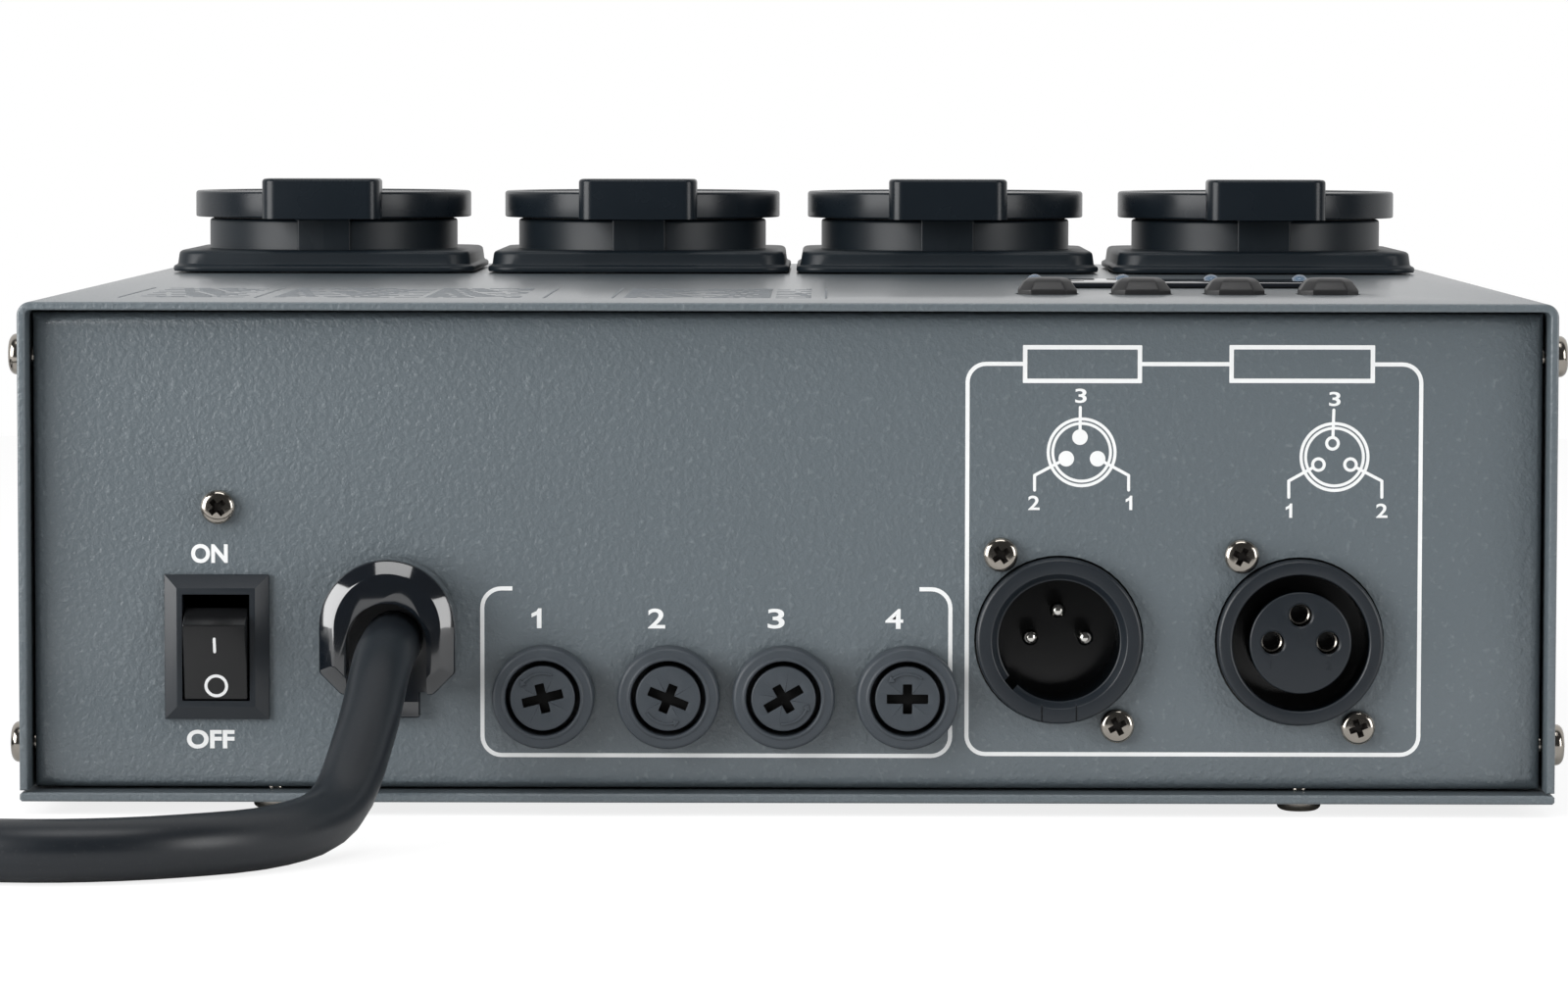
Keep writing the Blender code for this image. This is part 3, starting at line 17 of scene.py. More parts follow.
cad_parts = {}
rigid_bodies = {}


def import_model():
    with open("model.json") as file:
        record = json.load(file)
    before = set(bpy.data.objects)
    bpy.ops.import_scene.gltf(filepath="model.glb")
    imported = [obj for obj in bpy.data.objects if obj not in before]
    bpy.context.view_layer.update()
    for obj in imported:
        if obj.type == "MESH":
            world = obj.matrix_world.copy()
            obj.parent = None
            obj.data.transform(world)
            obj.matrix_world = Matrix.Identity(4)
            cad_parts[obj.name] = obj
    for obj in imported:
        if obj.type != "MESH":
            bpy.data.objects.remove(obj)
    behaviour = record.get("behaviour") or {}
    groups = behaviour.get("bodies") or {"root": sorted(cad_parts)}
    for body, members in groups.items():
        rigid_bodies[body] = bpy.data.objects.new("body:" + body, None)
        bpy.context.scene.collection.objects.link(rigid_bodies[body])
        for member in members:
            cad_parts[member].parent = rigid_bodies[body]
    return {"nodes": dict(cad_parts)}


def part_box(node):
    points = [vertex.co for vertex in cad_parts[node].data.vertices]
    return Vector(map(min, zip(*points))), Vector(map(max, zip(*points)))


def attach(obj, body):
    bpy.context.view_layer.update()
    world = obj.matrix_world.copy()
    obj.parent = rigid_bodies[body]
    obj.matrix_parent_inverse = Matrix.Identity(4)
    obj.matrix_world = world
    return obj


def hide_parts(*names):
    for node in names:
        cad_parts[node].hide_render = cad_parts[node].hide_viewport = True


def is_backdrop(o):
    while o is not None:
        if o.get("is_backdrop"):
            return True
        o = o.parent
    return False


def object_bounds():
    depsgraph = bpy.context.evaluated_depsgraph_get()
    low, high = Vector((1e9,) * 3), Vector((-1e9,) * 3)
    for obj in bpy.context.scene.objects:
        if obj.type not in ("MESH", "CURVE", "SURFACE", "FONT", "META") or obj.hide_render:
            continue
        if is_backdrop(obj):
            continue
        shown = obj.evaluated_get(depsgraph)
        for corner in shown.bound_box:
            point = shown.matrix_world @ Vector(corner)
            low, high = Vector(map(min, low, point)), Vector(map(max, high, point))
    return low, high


for obj in list(bpy.data.objects):
    bpy.data.objects.remove(obj, do_unlink=True)
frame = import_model()
cad_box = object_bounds()
bpy.context.scene.view_settings.view_transform = "Standard"
MM = 0.001

cover_low, cover_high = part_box("cover")
FRONT, REAR = cover_low.y, cover_high.y
HALF = cover_high.x
TOP = cover_high.z
CASE_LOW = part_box("bottom_plate")[0].z
PANEL_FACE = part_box("connector_panel")[0].y
FAR_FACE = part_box("far_panel")[1].y
print(
    f"case: {2 * HALF * 1000:.1f} mm wide, {(REAR - FRONT) * 1000:.1f} mm deep, "
    f"top at {TOP * 1000:.1f} mm"
)

# %% [markdown]
# ## Camera
#
# The photograph was taken from far away with a long lens, a little above the top of the box: its
# upright edges hardly lean together, and the top shows as a narrow strip. A 135 mm lens at 0.85 m
# gives the same narrow angle. The camera looks 3.7 degrees down and turns a little to the left,
# because the lines that run back meet right of the picture's middle.

# %% Place the camera
CAMERA_RIGHT, CAMERA_AWAY, CAMERA_ABOVE = 0.0056, 0.8475, 0.0273
CAMERA_DEGREES = (86.3, -0.08, 0.412)
camera_data = bpy.data.cameras.new("camera")
camera_data.lens = 135
camera_data.sensor_width = 36
camera_data.sensor_fit = "HORIZONTAL"
camera = bpy.data.objects.new("camera", camera_data)
bpy.context.scene.collection.objects.link(camera)
camera.location = (CAMERA_RIGHT, FRONT - CAMERA_AWAY, TOP + CAMERA_ABOVE)
camera.rotation_euler = [math.radians(angle) for angle in CAMERA_DEGREES]
bpy.context.scene.camera = camera

# %% [markdown]
# ## Helpers for shapes
#
# A turned part, such as a lid or a connector's ring, is easiest as half its outline, spun about the
# upright axis. A moulded part is easiest as a block whose sharp edges are then rounded by one bevel.
# Holes are cut with a Boolean, which is worked out at once, so that the result can be bevelled as
# well. Each finished object stays at the origin with its place in its mesh, because that is how the
# CAD pieces lie too. All sizes are metres, but for the few helpers that take millimetres.


# %% Spin, block and prism
def spun(outline, steps=48):
    """An outline of (radius, height) from axis to axis, spun about Z."""
    bm = bmesh.new()
    corners = [bm.verts.new((radius, 0.0, height)) for radius, height in outline]
    lines = [bm.edges.new(pair) for pair in zip(corners, corners[1:])]
    bmesh.ops.spin(
        bm, geom=corners + lines, cent=(0, 0, 0), axis=(0, 0, 1), angle=2 * math.pi,
        steps=steps, use_merge=True,
    )
    bmesh.ops.remove_doubles(bm, verts=bm.verts, dist=1e-6)
    bmesh.ops.recalc_face_normals(bm, faces=bm.faces)
    return bm


def block(low, high):
    """A box between two corners."""
    bm = bmesh.new()
    bmesh.ops.create_cube(bm, size=1.0)
    bmesh.ops.scale(bm, vec=Vector(high) - Vector(low), verts=bm.verts)
    bmesh.ops.translate(bm, vec=(Vector(high) + Vector(low)) / 2, verts=bm.verts)
    return bm


def in_mm(*points):
    """Points given in millimetres."""
    return [(a * MM, b * MM) for a, b in points]


def spun_mm(outline, steps=48):
    return spun(in_mm(*outline), steps)


def block_mm(low, high):
    return block([value * MM for value in low], [value * MM for value in high])


def rod(radius, low, high, steps=24):
    """A plain cylinder about Z."""
    return spun([(0, low), (radius, low), (radius, high), (0, high)], steps)


def chamfered_rod(radius, low, high, across, along, steps=24):
    """A cylinder about Z with both rims cut off at a slant."""
    outline = [(0, low), (radius - across, low), (radius, low + along)]
    outline += [(radius, high - along), (radius - across, high), (0, high)]
    return spun(outline, steps)


def prism(outline, low, high):
    """A flat outline in X and Y, drawn up from low to high."""
    bm = bmesh.new()
    face = bm.faces.new([bm.verts.new((x, y, low)) for x, y in outline])
    raise_face(bm, face, high - low)
    bmesh.ops.recalc_face_normals(bm, faces=bm.faces)
    return bm


def raise_face(bm, face, height, shrink=1.0, keep=True):
    """Extrudes a flat face along Z, and may shrink the new end about the Z axis."""
    grown = bmesh.ops.extrude_face_region(bm, geom=[face])["geom"]
    corners = [item for item in grown if isinstance(item, bmesh.types.BMVert)]
    bmesh.ops.translate(bm, vec=(0, 0, height), verts=corners)
    bmesh.ops.scale(bm, vec=(shrink, shrink, 1.0), verts=corners)
    if not keep:
        bmesh.ops.delete(bm, geom=[face], context="FACES_ONLY")
    return next(item for item in grown if isinstance(item, bmesh.types.BMFace))


def arc(x, y, radius, start, end, steps):
    """Points on an arc about (x, y), with its angles in degrees."""
    turns = [math.radians(start + (end - start) * step / steps) for step in range(steps + 1)]
    return [(x + radius * math.cos(turn), y + radius * math.sin(turn)) for turn in turns]


CORNER_SIGNS = ((1, 1), (-1, 1), (-1, -1), (1, -1))


# %% Soften, cut and join
def soften(bm, width, segments=2, over=25.0, where=None):
    """Rounds the edges sharper than so many degrees, or those of them that where() picks."""
    sharp = [
        edge for edge in bm.edges
        if len(edge.link_faces) == 2 and edge.calc_face_angle(0.0) > math.radians(over)
    ]
    if where:
        sharp = [edge for edge in sharp if where((edge.verts[0].co + edge.verts[1].co) / 2, edge)]
    bmesh.ops.bevel(
        bm, geom=sharp, offset=width, segments=segments, profile=0.5, affect="EDGES",
        material=-1, clamp_overlap=True,
    )
    return bm


def upright(middle, edge):
    """True for an edge that stands along Z."""
    return abs((edge.verts[0].co - edge.verts[1].co).normalized().z) > 0.99


def along_y(middle, edge):
    """True for an edge that lies along Y."""
    return abs((edge.verts[0].co - edge.verts[1].co).normalized().y) > 0.99


def moved(bm, x=0.0, y=0.0, z=0.0, turn=0.0, axis="Z"):
    """The bmesh turned about an axis and then shifted."""
    rotation = Matrix.Rotation(math.radians(turn), 3, axis)
    bmesh.ops.rotate(bm, cent=(0, 0, 0), matrix=rotation, verts=bm.verts)
    bmesh.ops.translate(bm, vec=(x, y, z), verts=bm.verts)
    return bm


def sideways(bm):
    """A side view drawn in X and Y and raised along Z, laid down so that it runs along X."""
    bmesh.ops.rotate(bm, cent=(0, 0, 0), matrix=Matrix(((0, 0, 1), (1, 0, 0), (0, 1, 0))), verts=bm.verts)
    bmesh.ops.recalc_face_normals(bm, faces=bm.faces)
    return bm


def working_object(bm):
    mesh = bpy.data.meshes.new("working")
    bm.to_mesh(mesh)
    bm.free()
    obj = bpy.data.objects.new("working", mesh)
    bpy.context.scene.collection.objects.link(obj)
    return obj


def combined(operation, bm, *tools):
    """The bmesh with others cut out of it or joined to it. The others go."""
    objects = [working_object(shape) for shape in (bm, *tools)]
    for tool in objects[1:]:
        modifier = objects[0].modifiers.new("shape", "BOOLEAN")
        modifier.operation = operation
        modifier.solver = "EXACT"
        modifier.object = tool
    graph = bpy.context.evaluated_depsgraph_get()
    mesh = bpy.data.meshes.new_from_object(objects[0].evaluated_get(graph))
    result = bmesh.new()
    result.from_mesh(mesh)
    bpy.data.meshes.remove(mesh)
    for obj in objects:
        bpy.data.objects.remove(obj, do_unlink=True)
    return result


def carved(bm, *cutters):
    return combined("DIFFERENCE", bm, *cutters)


def joined(bm, *others):
    return combined("UNION", bm, *others)


# %% Finish a piece
def out_of_panel(at):
    """Puts a piece modelled with +Z out of its surface onto the connector panel, at that point."""
    return Matrix.Translation(at) @ Matrix.Rotation(math.pi / 2, 4, "X")


def finished(name, bm, materials, place=None, smooth=32.0):
    """The bmesh as an object at the origin, shaded smooth but for its sharp edges."""
    if place is not None:
        bmesh.ops.transform(bm, matrix=place, verts=bm.verts)
    mesh = bpy.data.meshes.new(name)
    bm.to_mesh(mesh)
    bm.free()
    for material in materials:
        mesh.materials.append(material)
    mesh.shade_smooth()
    mesh.set_sharp_from_angle(angle=math.radians(smooth))
    obj = bpy.data.objects.new(name, mesh)
    bpy.context.scene.collection.objects.link(obj)
    return obj


def stands_for(piece, body, slot, *nodes):
    """The piece rides on a body and replaces CAD nodes. Its slot is not used."""
    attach(piece, body)
    if nodes:
        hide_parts(*nodes)
    return piece


def middle_of(node):
    low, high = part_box(node)
    return (low + high) / 2


# %% [markdown]
# ## Helpers for materials
#
# Every surface here is either coated steel, moulded plastic, rubber or plated metal. They all share
# a fine grain in their height, and slow changes in colour and gloss. One shader group can make both
# from noise, and each material then sets how large and how strong they are. The noise reads Object
# coordinates, which are real metres here, so a grain of half a millimetre is half a millimetre
# everywhere.


# %% Shader groups for grain and for slow variation
def new_group(name, inputs, outputs):
    """An empty shader node group with number inputs and outputs."""
    group = bpy.data.node_groups.new(name, "ShaderNodeTree")
    for label, value in inputs:
        socket = group.interface.new_socket(label, in_out="INPUT", socket_type="NodeSocketFloat")
        socket.default_value = value
    for label in outputs:
        group.interface.new_socket(label, in_out="OUTPUT", socket_type="NodeSocketFloat")
    return group, group.nodes.new("NodeGroupInput"), group.nodes.new("NodeGroupOutput")


def noise_into(group, source, scale_socket, detail, roughness=0.5):
    noise = group.nodes.new("ShaderNodeTexNoise")
    noise.inputs["Detail"].default_value = detail
    noise.inputs["Roughness"].default_value = roughness
    group.links.new(source.outputs["Object"], noise.inputs["Vector"])
    group.links.new(scale_socket, noise.inputs["Scale"])
    return noise.outputs["Fac"]


def math_node(group, operation, first, second):
    node = group.nodes.new("ShaderNodeMath")
    node.operation = operation
    for socket, value in zip(node.inputs, (first, second)):
        if isinstance(value, (int, float)):
            socket.default_value = value
        else:
            group.links.new(value, socket)
    return node.outputs[0]


grain_group, entry, leave = new_group(
    "surface grain", [("Grain per metre", 1500.0), ("Fleck", 0.3)], ["Height", "Fleck mask"]
)
where = grain_group.nodes.new("ShaderNodeTexCoord")
bumps = noise_into(grain_group, where, entry.outputs["Grain per metre"], 2.0, 0.55)
finer = math_node(grain_group, "MULTIPLY", entry.outputs["Grain per metre"], 3.1)
fine = noise_into(grain_group, where, finer, 1.0)
fine_share = math_node(grain_group, "MULTIPLY", fine, 0.25)
grain_group.links.new(math_node(grain_group, "ADD", bumps, fine_share), leave.inputs["Height"])
peaks = math_node(grain_group, "SUBTRACT", bumps, 0.60)
strong = math_node(grain_group, "MULTIPLY", math_node(grain_group, "MAXIMUM", peaks, 0.0), 6.0)
fleck = math_node(grain_group, "MULTIPLY", strong, entry.outputs["Fleck"])
grain_group.links.new(fleck, leave.inputs["Fleck mask"])

drift_group, entry, leave = new_group(
    "slow variation", [("Patches per metre", 30.0), ("Amount", 0.1)], ["Around one", "Around zero"]
)
where = drift_group.nodes.new("ShaderNodeTexCoord")
cloud = noise_into(drift_group, where, entry.outputs["Patches per metre"], 4.0, 0.6)
centred = math_node(drift_group, "SUBTRACT", cloud, 0.5)
spread = math_node(drift_group, "MULTIPLY", centred, entry.outputs["Amount"])
drift_group.links.new(spread, leave.inputs["Around zero"])
drift_group.links.new(math_node(drift_group, "ADD", spread, 1.0), leave.inputs["Around one"])
print("shader groups:", ", ".join(group.name for group in bpy.data.node_groups))


# %% A function for the plain mouldings and coats
def grained(name, colour, roughness, grain=1500.0, height=0.02 * MM, strength=0.3, fleck=0.0,
            fleck_colour=(0.3, 0.32, 0.33), patches=30.0, colour_change=0.15, gloss_change=0.1,
            metallic=0.0, specular=0.5, coat=0.0, coat_roughness=0.1):
    """A material of one colour with grain in its height and slow changes in colour and gloss."""
    material = bpy.data.materials.new(name)
    material.use_nodes = True
    tree = material.node_tree
    shader = tree.nodes["Principled BSDF"]
    shader.inputs["Metallic"].default_value = metallic
    shader.inputs["Specular IOR Level"].default_value = specular
    shader.inputs["Coat Weight"].default_value = coat
    shader.inputs["Coat Roughness"].default_value = coat_roughness
    texture = tree.nodes.new("ShaderNodeGroup")
    texture.node_tree = grain_group
    texture.inputs["Grain per metre"].default_value = grain
    texture.inputs["Fleck"].default_value = fleck
    drift = tree.nodes.new("ShaderNodeGroup")
    drift.node_tree = drift_group
    drift.inputs["Patches per metre"].default_value = patches
    drift.inputs["Amount"].default_value = colour_change
    shade = tree.nodes.new("ShaderNodeVectorMath")
    shade.operation = "SCALE"
    shade.inputs[0].default_value = colour
    tree.links.new(drift.outputs["Around one"], shade.inputs["Scale"])
    mix = tree.nodes.new("ShaderNodeMix")
    mix.data_type = "RGBA"
    mix.inputs["B"].default_value = (*fleck_colour, 1.0)
    tree.links.new(shade.outputs[0], mix.inputs["A"])
    tree.links.new(texture.outputs["Fleck mask"], mix.inputs["Factor"])
    tree.links.new(mix.outputs["Result"], shader.inputs["Base Color"])
    share = gloss_change / max(colour_change, 1e-6)
    glossy = math_node(tree, "MULTIPLY", drift.outputs["Around zero"], share)
    tree.links.new(math_node(tree, "ADD", glossy, roughness), shader.inputs["Roughness"])
    bump = tree.nodes.new("ShaderNodeBump")
    bump.inputs["Strength"].default_value = strength
    bump.inputs["Distance"].default_value = height
    tree.links.new(texture.outputs["Height"], bump.inputs["Height"])
    tree.links.new(bump.outputs["Normal"], shader.inputs["Normal"])
    return material


# %% [markdown]
# ## The finishes
#
# The powder coat is a dark blue-grey with a fine orange-peel texture, half matt. The sockets, lids
# and connectors are black mouldings with a light sheen, the strain relief is a glossy one, and the
# lead is dull rubber. The screws are nickel plated. Their recesses, the slots of the fuse caps and
# the bores of the data connectors get near-black finishes that paint in the shade inside them, with
# some grime in the screw recesses.

# %% Make the finishes
powder_coat = grained(
    "powder_coat", (0.105, 0.128, 0.143), 0.42, grain=1050.0, height=0.25 * MM, strength=1.0,
    fleck=0.5, fleck_colour=(0.19, 0.22, 0.235), patches=12.0, colour_change=0.10, gloss_change=0.06,
    coat=0.75, coat_roughness=0.20,
)
socket_plastic = grained(
    "socket_plastic", (0.0080, 0.0120, 0.0165), 0.27, grain=2600.0, height=0.03 * MM, strength=0.12,
    patches=60.0, colour_change=0.3, gloss_change=0.12, specular=0.33,
)
fitting_plastic = grained(
    "fitting_plastic", (0.0110, 0.0150, 0.0200), 0.36, grain=3200.0, height=0.04 * MM, strength=0.25,
    patches=90.0, colour_change=0.3, gloss_change=0.15,
)
glossy_plastic = grained(
    "glossy_plastic", (0.004, 0.006, 0.009), 0.10, grain=900.0, height=0.01 * MM, strength=0.08,
    patches=80.0, colour_change=0.2, gloss_change=0.05, specular=0.8, coat=1.0, coat_roughness=0.04,
)
# Near-black: painted shade for the insides of the data connectors' mouths, grooves and holes.
bore_painted_shade = grained(
    "bore_painted_shade", (0.002, 0.003, 0.004), 0.16, grain=1500.0, height=0.01 * MM, strength=0.1,
    patches=120.0, colour_change=0.2, gloss_change=0.08,
)
neck_plastic = grained(
    "neck_plastic", (0.0090, 0.0140, 0.0190), 0.40, grain=2600.0, height=0.03 * MM, strength=0.15,
    patches=60.0, colour_change=0.3, gloss_change=0.10, specular=0.33,
)
# Near-black: painted shade for the inside of the fuse caps' slots.
slot_painted_shade = grained(
    "slot_painted_shade", (0.002, 0.002, 0.002), 0.65, grain=2000.0, height=0.02 * MM, strength=0.1, specular=0.2,
)
cord_rubber = grained(
    "cord_rubber", (0.007, 0.010, 0.014), 0.36, grain=1900.0, height=0.03 * MM, strength=0.25,
    fleck=0.25, fleck_colour=(0.05, 0.05, 0.05), patches=70.0, colour_change=0.35, gloss_change=0.12,
)
nickel = grained(
    "nickel", (0.40, 0.37, 0.33), 0.15, grain=2500.0, height=0.01 * MM, strength=0.1,
    patches=400.0, colour_change=0.25, gloss_change=0.12, metallic=1.0,
)
# Near-black: painted shade and some grime inside the screws' cross recesses.
recess_shade_and_grime = grained(
    "recess_shade_and_grime", (0.020, 0.017, 0.015), 0.50, grain=3000.0, height=0.03 * MM, strength=0.3,
    patches=900.0, colour_change=0.8, gloss_change=0.2, metallic=0.6,
)
steel_wire = grained(
    "steel_wire", (0.55, 0.55, 0.56), 0.28, grain=4000.0, height=0.01 * MM, strength=0.2,
    patches=300.0, colour_change=0.15, gloss_change=0.1, metallic=1.0,
)
print_white = grained(
    "print_white", (0.80, 0.81, 0.81), 0.55, grain=1500.0, height=0.02 * MM, strength=0.2,
    patches=300.0, colour_change=0.12, gloss_change=0.1,
)
print_faint = grained(
    "print_faint", (0.16, 0.18, 0.20), 0.55, grain=1500.0, height=0.02 * MM, strength=0.2,
    patches=300.0, colour_change=0.3, gloss_change=0.1,
)
print(f"finishes: {len(bpy.data.materials)} materials")

# %% [markdown]
# ## The mains lead
#
# A lead is one fixed length of rubber cord: it leaves the strain relief straight, sinks to the
# table in a soft bend, runs off to the left and is wound into a neat double-layer coil with its
# plug beside it. A curve with a round bevel models it well, because its own line is the cord's
# centreline and so keeps its length. The points are the CAD route's own, so that the finer cord
# lies exactly where the solid one does. The curve through them is a Catmull-Rom spline, which
# passes through every point without a kink.

# %% Follow the route from the strain relief
CORD_RADIUS = 4.25 * MM
FLOOR_HEIGHT = CORD_RADIUS + 0.1 * MM
COIL_MIDDLE = Vector((-222.0, -102.0, 0.0)) * MM
COIL_RADIUS = 56.6 * MM
COIL_PITCH = 9.2 * MM
COIL_TURNS = 4.25
COIL_LOOP_POINTS = 24
PLUG_AXIS_HEIGHT = 18.6 * MM
LEAD_GAP = 0.3 * MM
LEAD_STEP = 17.0 * MM
LEAD_START = Vector((-57.05 * MM, PANEL_FACE - 3.4 * MM, CASE_LOW + 23.5 * MM))
LEAD_ROUTE = (
    (0.0, 0.0, 0.0), (0.0, -6.0, 0.0), (-0.1, -11.0, -0.5), (-0.4, -17.5, -2.2), (-0.9, -23.8, -5.2),
    (-1.5, -29.3, -9.4), (-2.4, -34.5, -14.0), (-3.7, -40.3, -17.7), (-5.7, -46.6, -20.1),
    (-8.2, -53.1, -21.1), (-11.4, -59.4, -21.1), (-15.7, -65.0, -21.1), (-26.1, -72.8, -21.1),
    (-38.6, -76.4, -21.1), (-51.5, -75.3, -21.1), (-63.3, -70.0, -21.1), (-74.7, -63.5, -21.1),
    (-86.4, -57.0, -21.1), (-99.0, -52.2, -21.1), (-112.0, -49.8, -21.1), (-125.0, -49.3, -21.1),
    (-138.0, -49.3, -21.1), (-147.6, -49.3, -21.1),
)


def smooth_curve(points, per_span=12):
    """A Catmull-Rom curve through the points."""
    knots = [2 * points[0] - points[1], *points, 2 * points[-1] - points[-2]]
    line = []
    for a, b, c, d in zip(knots, knots[1:], knots[2:], knots[3:]):
        for step in range(per_span):
            t = step / per_span
            square = (2 * a - 5 * b + 4 * c - d) * t**2
            cube = (3 * b - a - 3 * c + d) * t**3
            line.append(0.5 * (2 * b + (c - a) * t + square + cube))
    return [*line, points[-1]]


def length_of(line):
    return sum((b - a).length for a, b in zip(line, line[1:]))


def evenly_spaced(line, step):
    """Points along a fine line, about step apart, with both its ends."""
    count = max(2, round(length_of(line) / step))
    wanted = length_of(line) / count
    spaced = [line[0]]
    travelled = 0.0
    for a, b in zip(line, line[1:]):
        travelled += (b - a).length
        if travelled >= wanted * len(spaced) and len(spaced) < count:
            spaced.append(b)
    return [*spaced, line[-1]]


coil_start = COIL_MIDDLE + Vector((2 * CORD_RADIUS, -COIL_RADIUS, FLOOR_HEIGHT))
route = [LEAD_START + MM * Vector(point) for point in LEAD_ROUTE]
route[-1] = coil_start + Vector((LEAD_GAP + 2 * CORD_RADIUS, 0.0, 0.0))
lead_line = evenly_spaced(smooth_curve(route), LEAD_STEP)
for point in lead_line:
    point.z = max(point.z, FLOOR_HEIGHT)
print(f"free lead: {length_of(lead_line):.3f} m in {len(lead_line)} points")

# %% Wind the coil
coil_line = [coil_start]
for step in range(round(COIL_TURNS * COIL_LOOP_POINTS) + 1):
    turn = step / COIL_LOOP_POINTS
    radius = COIL_RADIUS - COIL_PITCH * min(turn, COIL_TURNS - turn)
    climbed = min(1.0, max(0.0, (turn - COIL_TURNS / 2 + 0.25) / 0.5))
    angle = -math.pi / 2 - 2 * math.pi * turn
    height = FLOOR_HEIGHT + COIL_PITCH * climbed
    spot = Vector((radius * math.cos(angle), radius * math.sin(angle), height))
    coil_line.append(COIL_MIDDLE + spot)
tail = coil_line[-1]
for share in (0.25, 0.5, 0.75, 1.0):
    eased = 3 * share**2 - 2 * share**3
    lift = (PLUG_AXIS_HEIGHT - tail.z) * eased
    coil_line.append(tail + Vector((0.0, 30.0 * MM * share, lift)))
coil_line.append(coil_line[-1] + Vector((0.0, 2 * CORD_RADIUS, 0.0)))
cord_end = coil_line[-1]
print(f"coil: {length_of(coil_line):.3f} m in {COIL_TURNS} turns")

# %% Make the cord
cord_line = smooth_curve([*lead_line, *coil_line], per_span=4)
cord_curve = bpy.data.curves.new("mains_cord", "CURVE")
cord_curve.dimensions = "3D"
cord_curve.bevel_depth = CORD_RADIUS
cord_curve.bevel_resolution = 7
cord_curve.use_fill_caps = True
spline = cord_curve.splines.new("POLY")
spline.points.add(len(cord_line) - 1)
for knot, point in zip(spline.points, cord_line):
    knot.co = (*point, 1.0)
spline.use_smooth = True
cord_curve.materials.append(cord_rubber)
mains_cord = bpy.data.objects.new("mains_cord", cord_curve)
bpy.context.scene.collection.objects.link(mains_cord)
stands_for(mains_cord, "case", "black_rubber", "mains_lead", "mains_coil")

# %% [markdown]
# ## Tie and plug
#
# A hook-and-loop strap holds the coil. It is a flat loop round the turns, so a rounded rectangle is
# swept into a band and given a thickness. The plug is the usual round one with two pins: its body
# is turned, its two earth grooves are cut at the sides, and a row of ribs gives the fingers grip.

# %% Strap round the coil
STRAP_HALF_WIDTH = 7.0 * MM
STRAP_THICKNESS = 0.9 * MM
STRAP_DEGREES = 152
strap_fabric = grained(
    "strap_fabric", (0.012, 0.012, 0.013), 0.85, grain=1300.0, height=0.5 * MM, strength=0.8,
    fleck=0.5, fleck_colour=(0.04, 0.04, 0.04), patches=200.0, colour_change=0.4, specular=0.2,
)
turns_out = COIL_RADIUS + CORD_RADIUS
turns_in = COIL_RADIUS - 2 * COIL_PITCH - CORD_RADIUS
turns_top = FLOOR_HEIGHT + COIL_PITCH + CORD_RADIUS
strap = block(
    (turns_in - 1.2 * MM, -STRAP_HALF_WIDTH, 0.0),
    (turns_out + 0.6 * MM, STRAP_HALF_WIDTH, turns_top + 0.2 * MM),
)
soften(strap, 4.0 * MM, 6, where=along_y)
ends = [face for face in strap.faces if abs(face.normal.y) > 0.99]
bmesh.ops.delete(strap, geom=ends, context="FACES_ONLY")
bmesh.ops.recalc_face_normals(strap, faces=strap.faces)
inside = Vector((0.05, 0, 0.01))
if sum(face.normal.dot(face.calc_center_median() - inside) for face in strap.faces) < 0:
    bmesh.ops.reverse_faces(strap, faces=strap.faces)
bmesh.ops.solidify(strap, geom=strap.faces[:], thickness=-STRAP_THICKNESS)
bmesh.ops.recalc_face_normals(strap, faces=strap.faces)
strap_low = min(vert.co.z for vert in strap.verts)
moved(strap, z=0.05 * MM - strap_low)
place = Matrix.Translation(COIL_MIDDLE) @ Matrix.Rotation(math.radians(STRAP_DEGREES), 4, "Z")
coil_strap = stands_for(finished("coil_strap", strap, [strap_fabric], place), "case", "black_rubber")

# %% Plug
PLUG_RADIUS = 18.5 * MM
PLUG_FACE = 46.0 * MM
PIN_ASIDE = 9.5 * MM
plug_outline = in_mm((0, 0.3), (6.2, 0.3), (6.6, 0.9))
for ring in range(5):
    height = (3.0 + 2.6 * ring) * MM
    radius = (6.6 + 0.3 * ring) * MM
    plug_outline += [(radius, height), (radius - 0.9 * MM, height + 0.3 * MM),
                     (radius - 0.9 * MM, height + 1.1 * MM), (radius + 0.1 * MM, height + 1.4 * MM)]
plug_outline += [(8.3 * MM, 16.0 * MM)] + arc(8.3 * MM, 21.0 * MM, 5.0 * MM, -90, -10, 6)
plug_outline += in_mm((14.4, 25.5), (16.6, 29.0), (18.1, 32.0)) + [(PLUG_RADIUS, 34.5 * MM)]
plug_outline += arc(PLUG_RADIUS - 1.5 * MM, PLUG_FACE - 1.5 * MM, 1.5 * MM, 0, 90, 5) + [(0.0, PLUG_FACE)]
plug_body = spun(plug_outline, 72)
grooves = []
for side in (-1, 1):
    groove = block_mm((-2.6, 15.6, 29.0), (2.6, 22.0, 52.0))
    soften(groove, 0.6 * MM, 3)
    grooves.append(moved(groove, turn=90.0 - 90.0 * side))
earth_hole = moved(rod(2.6 * MM, 30 * MM, 50 * MM, 32), y=-9.5 * MM)
plug_body = carved(plug_body, *grooves, earth_hole)
place = Matrix.Translation(cord_end) @ Matrix.Rotation(-math.pi / 2, 4, "X")
plug = stands_for(
    finished("mains_plug_body", plug_body, [cord_rubber], place), "case", "black_rubber", "mains_plug"
)
